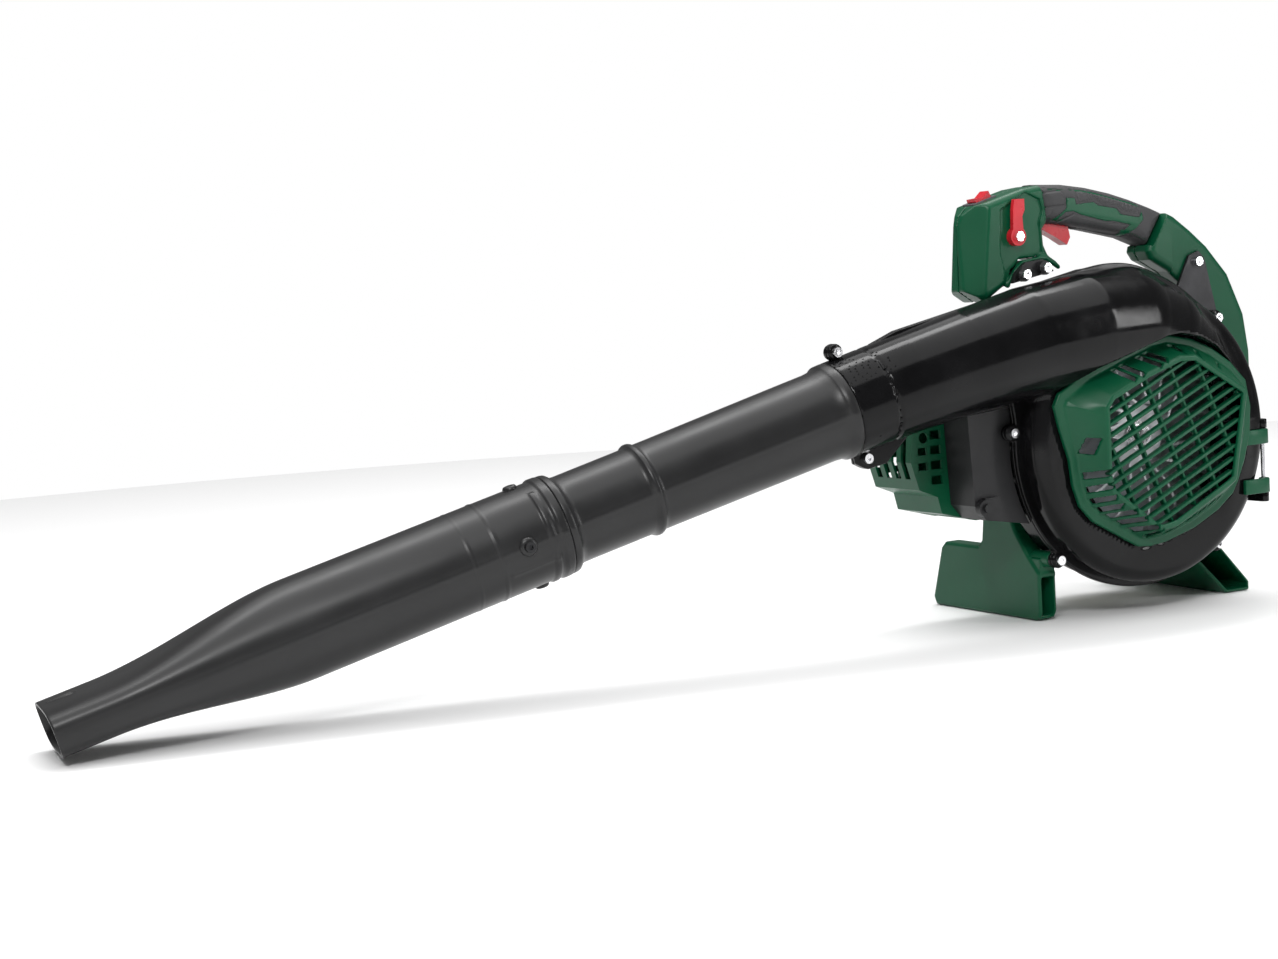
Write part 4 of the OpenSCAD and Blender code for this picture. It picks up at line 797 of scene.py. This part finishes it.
def grip_field(u, v, w):
    d = grip_round(u, v, w)
    side = np.abs(w - HANDLE_Z)
    for pad in PADS:
        edge = poly(u, v, pad)
        groove = np.exp(-(edge / 0.9) ** 2)
        d = d + 0.7 * groove * (side > 6) - 0.35 * np.clip(-edge / 2, 0, 1) * (side > 6)
    ribs = poly(u, v, PADS[2])
    d = d + 0.45 * np.clip(-ribs / 2, 0, 1) * (np.sin((u * 0.94 - v * 0.33) * 1.35) > 0.55) * (side > 4)
    band = inlay_flat(u, v)
    d = d + 1.1 * (1 / (1 + np.exp(np.clip(band / 0.35, -30, 30)))) * (side > 8)
    slot = np.maximum(np.maximum(np.abs(u + 71) - 29, np.abs(v - 196) - 21), side - 6.6)
    ends = slab(poly(u, v, GRIP) + 4, w, -41.5, -12.5, 3)
    d = np.maximum(d, -slot)
    return np.maximum(d, -ends)


def inlay_field(u, v, w):
    d = slab(inlay_flat(u, v) + 0.15, w, -60, 10, 0)
    skin = grip_round(u, v, w)
    return smooth_max(np.maximum(d, -(skin + 2.2)), skin + 0.25, 0.6)


grip_step = 1.1
rubber = solid("grip_sleeve", grip_field, (-98, 172, -48), (62, 244, -6), grip_step, RUBBER)
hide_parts("grip_rubber")
solid("grip_inlay", inlay_field, (-82, 184, -48), (32, 230, -6), grip_step, GREEN)

# ---------- feet ----------
FOOT = [(24, -167), (17, -164.5), (14, -158), (14, -122), (30, -106), (48, -84), (56, -68), (98, -68),
        (102, -96), (108, -102), (162, -102), (169, -108), (186, -159), (182, -167)]


def front_foot(u, v, w):
    y = -w
    u0 = FOOT_U
    flat = poly(y, v, FOOT)
    d = slab(flat, u, u0 - FOOT_T / 2, u0 + FOOT_T / 2, 3.2)
    inner = np.maximum(flat + WALL, np.abs(u - u0) - FOOT_T / 2 + WALL)
    mouth = np.maximum(np.maximum(np.abs(u - u0) - FOOT_T / 2 + WALL, np.maximum(v + 125, -164.0 - v)),
                       y - 20)
    d = smooth_max(d, -np.minimum(inner, mouth), 0.7)
    d = np.maximum(d, -167.0 - v)
    lug = LUGS[1]
    post = np.maximum(np.hypot(u - lug[0], v - lug[1]) - 7.6, np.abs(w + 17) - 12.8)
    neck = np.maximum(np.abs(u - u0) - 8.5, np.maximum(np.abs(v + 116) - 9, np.abs(w + 23) - 9))
    d = smooth_min(d, np.minimum(post, neck), 2)
    return np.maximum(d, SCREW_HOLE - np.hypot(u - lug[0], v - lug[1]))


foot_step = 1.6
foot = solid("foot_front", front_foot, (-113, -169, -198), (-86, -64, -2), foot_step, GREEN)
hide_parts("front_foot")

REAR = [(80, -128), (94, -104), (100, -104), (150, -158), (150, -167), (120, -167)]


def rear_foot(u, v, w):
    y = -w
    taper = np.interp(y, [14, 60, 164], [0, 0, 2])
    flat = poly(u, v, REAR) + taper
    d = slab(flat, w, -164, -14, 3)
    inner = np.maximum(flat + 3, np.abs(y - 87) - 74)
    mouth = np.maximum(flat + 3.0, np.abs(y - 20) - 30)
    d = smooth_max(d, -np.minimum(inner, mouth), 0.7)
    d = np.maximum(d, -167.0 - v)
    lug = LUGS[2]
    post = np.maximum(np.hypot(u - lug[0], v - lug[1]) - 7.6, np.abs(w + 11) - 6.8)
    d = smooth_min(d, post, 2)
    return np.maximum(d, SCREW_HOLE - np.hypot(u - lug[0], v - lug[1]))


foot2 = solid("foot_rear", rear_foot, (76, -169, -167), (153, -99, -2), foot_step, GREEN)
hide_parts("rear_foot")

# ---------- floor, light, camera ----------
def plain(name, color, rough):
    m = bpy.data.materials.new(name)
    m.use_nodes = True
    s = m.node_tree.nodes["Principled BSDF"]
    s.inputs["Base Color"].default_value = (*color, 1)
    s.inputs["Roughness"].default_value = rough
    return m


mesh = bpy.data.meshes.new("floor")
rim = [(2.6 * math.cos(math.pi * k / 48), 2.6 * math.sin(math.pi * k / 48), -0.0005) for k in range(96)]
mesh.from_pydata(rim, [], [tuple(range(96))])
floor = bpy.data.objects.new("floor", mesh)
bpy.context.scene.collection.objects.link(floor)
floor.data.materials.append(plain("floor_white", (0.9, 0.9, 0.9), 0.75))

world = bpy.data.worlds.new("studio")
bpy.context.scene.world = world
world.use_nodes = True
sky = world.node_tree
seen = sky.nodes["Background"]
seen.inputs["Color"].default_value = (1, 1, 1, 1)
seen.inputs["Strength"].default_value = 1.0
dim = sky.nodes.new("ShaderNodeBackground")
dim.inputs["Color"].default_value = (1, 1, 1, 1)
dim.inputs["Strength"].default_value = 0.2
blend = sky.nodes.new("ShaderNodeMixShader")
sky.links.new(sky.nodes.new("ShaderNodeLightPath").outputs["Is Camera Ray"], blend.inputs["Fac"])
sky.links.new(dim.outputs["Background"], blend.inputs[1])
sky.links.new(seen.outputs["Background"], blend.inputs[2])
sky.links.new(blend.outputs["Shader"], sky.nodes["World Output"].inputs["Surface"])


def area(name, at, target, size_x, size_y, power):
    light = bpy.data.lights.new(name, "AREA")
    light.shape = "RECTANGLE"
    light.size, light.size_y, light.energy = size_x, size_y, power
    lamp = bpy.data.objects.new(name, light)
    lamp.location = at
    lamp.rotation_euler = (Vector(target) - Vector(at)).to_track_quat("-Z", "Y").to_euler()
    bpy.context.scene.collection.objects.link(lamp)


area("key", (-1.1, -1.9, 1.7), (0.2, 0, 0.15), 0.9, 0.45, 34)
area("fill", (2.0, -1.9, 0.9), (0.4, 0, 0.2), 0.3, 1.3, 14)
area("top", (0.2, 0.5, 2.2), (0.2, 0, 0.1), 2.4, 0.4, 22)
area("wash", (0.2, 0.0, 5.0), (0.2, 0.0, 0), 8.0, 8.0, 360)

camera = bpy.data.cameras.new("camera")
camera.lens = 63.4
camera.sensor_width = 36
cam = bpy.data.objects.new("camera", camera)
right_, forward = (0.881, -0.469, -0.060), (0.464, 0.882, -0.088)
f = Vector(forward).normalized()
r = Vector(right_)
r = (r - f * r.dot(f)).normalized()
u = r.cross(f)
rot = Matrix((r, u, -f)).transposed().to_4x4()
spot = (FAN + np.array([-332.0, 0.0, 50.0]) + np.array([-1078.0, -1660.0, 124.0])) / 1000
camera.shift_x = 0.003
cam.matrix_world = Matrix.Translation(Vector(spot)) @ rot
bpy.context.scene.collection.objects.link(cam)
bpy.context.scene.camera = cam
bpy.context.scene.view_settings.view_transform = "Standard"
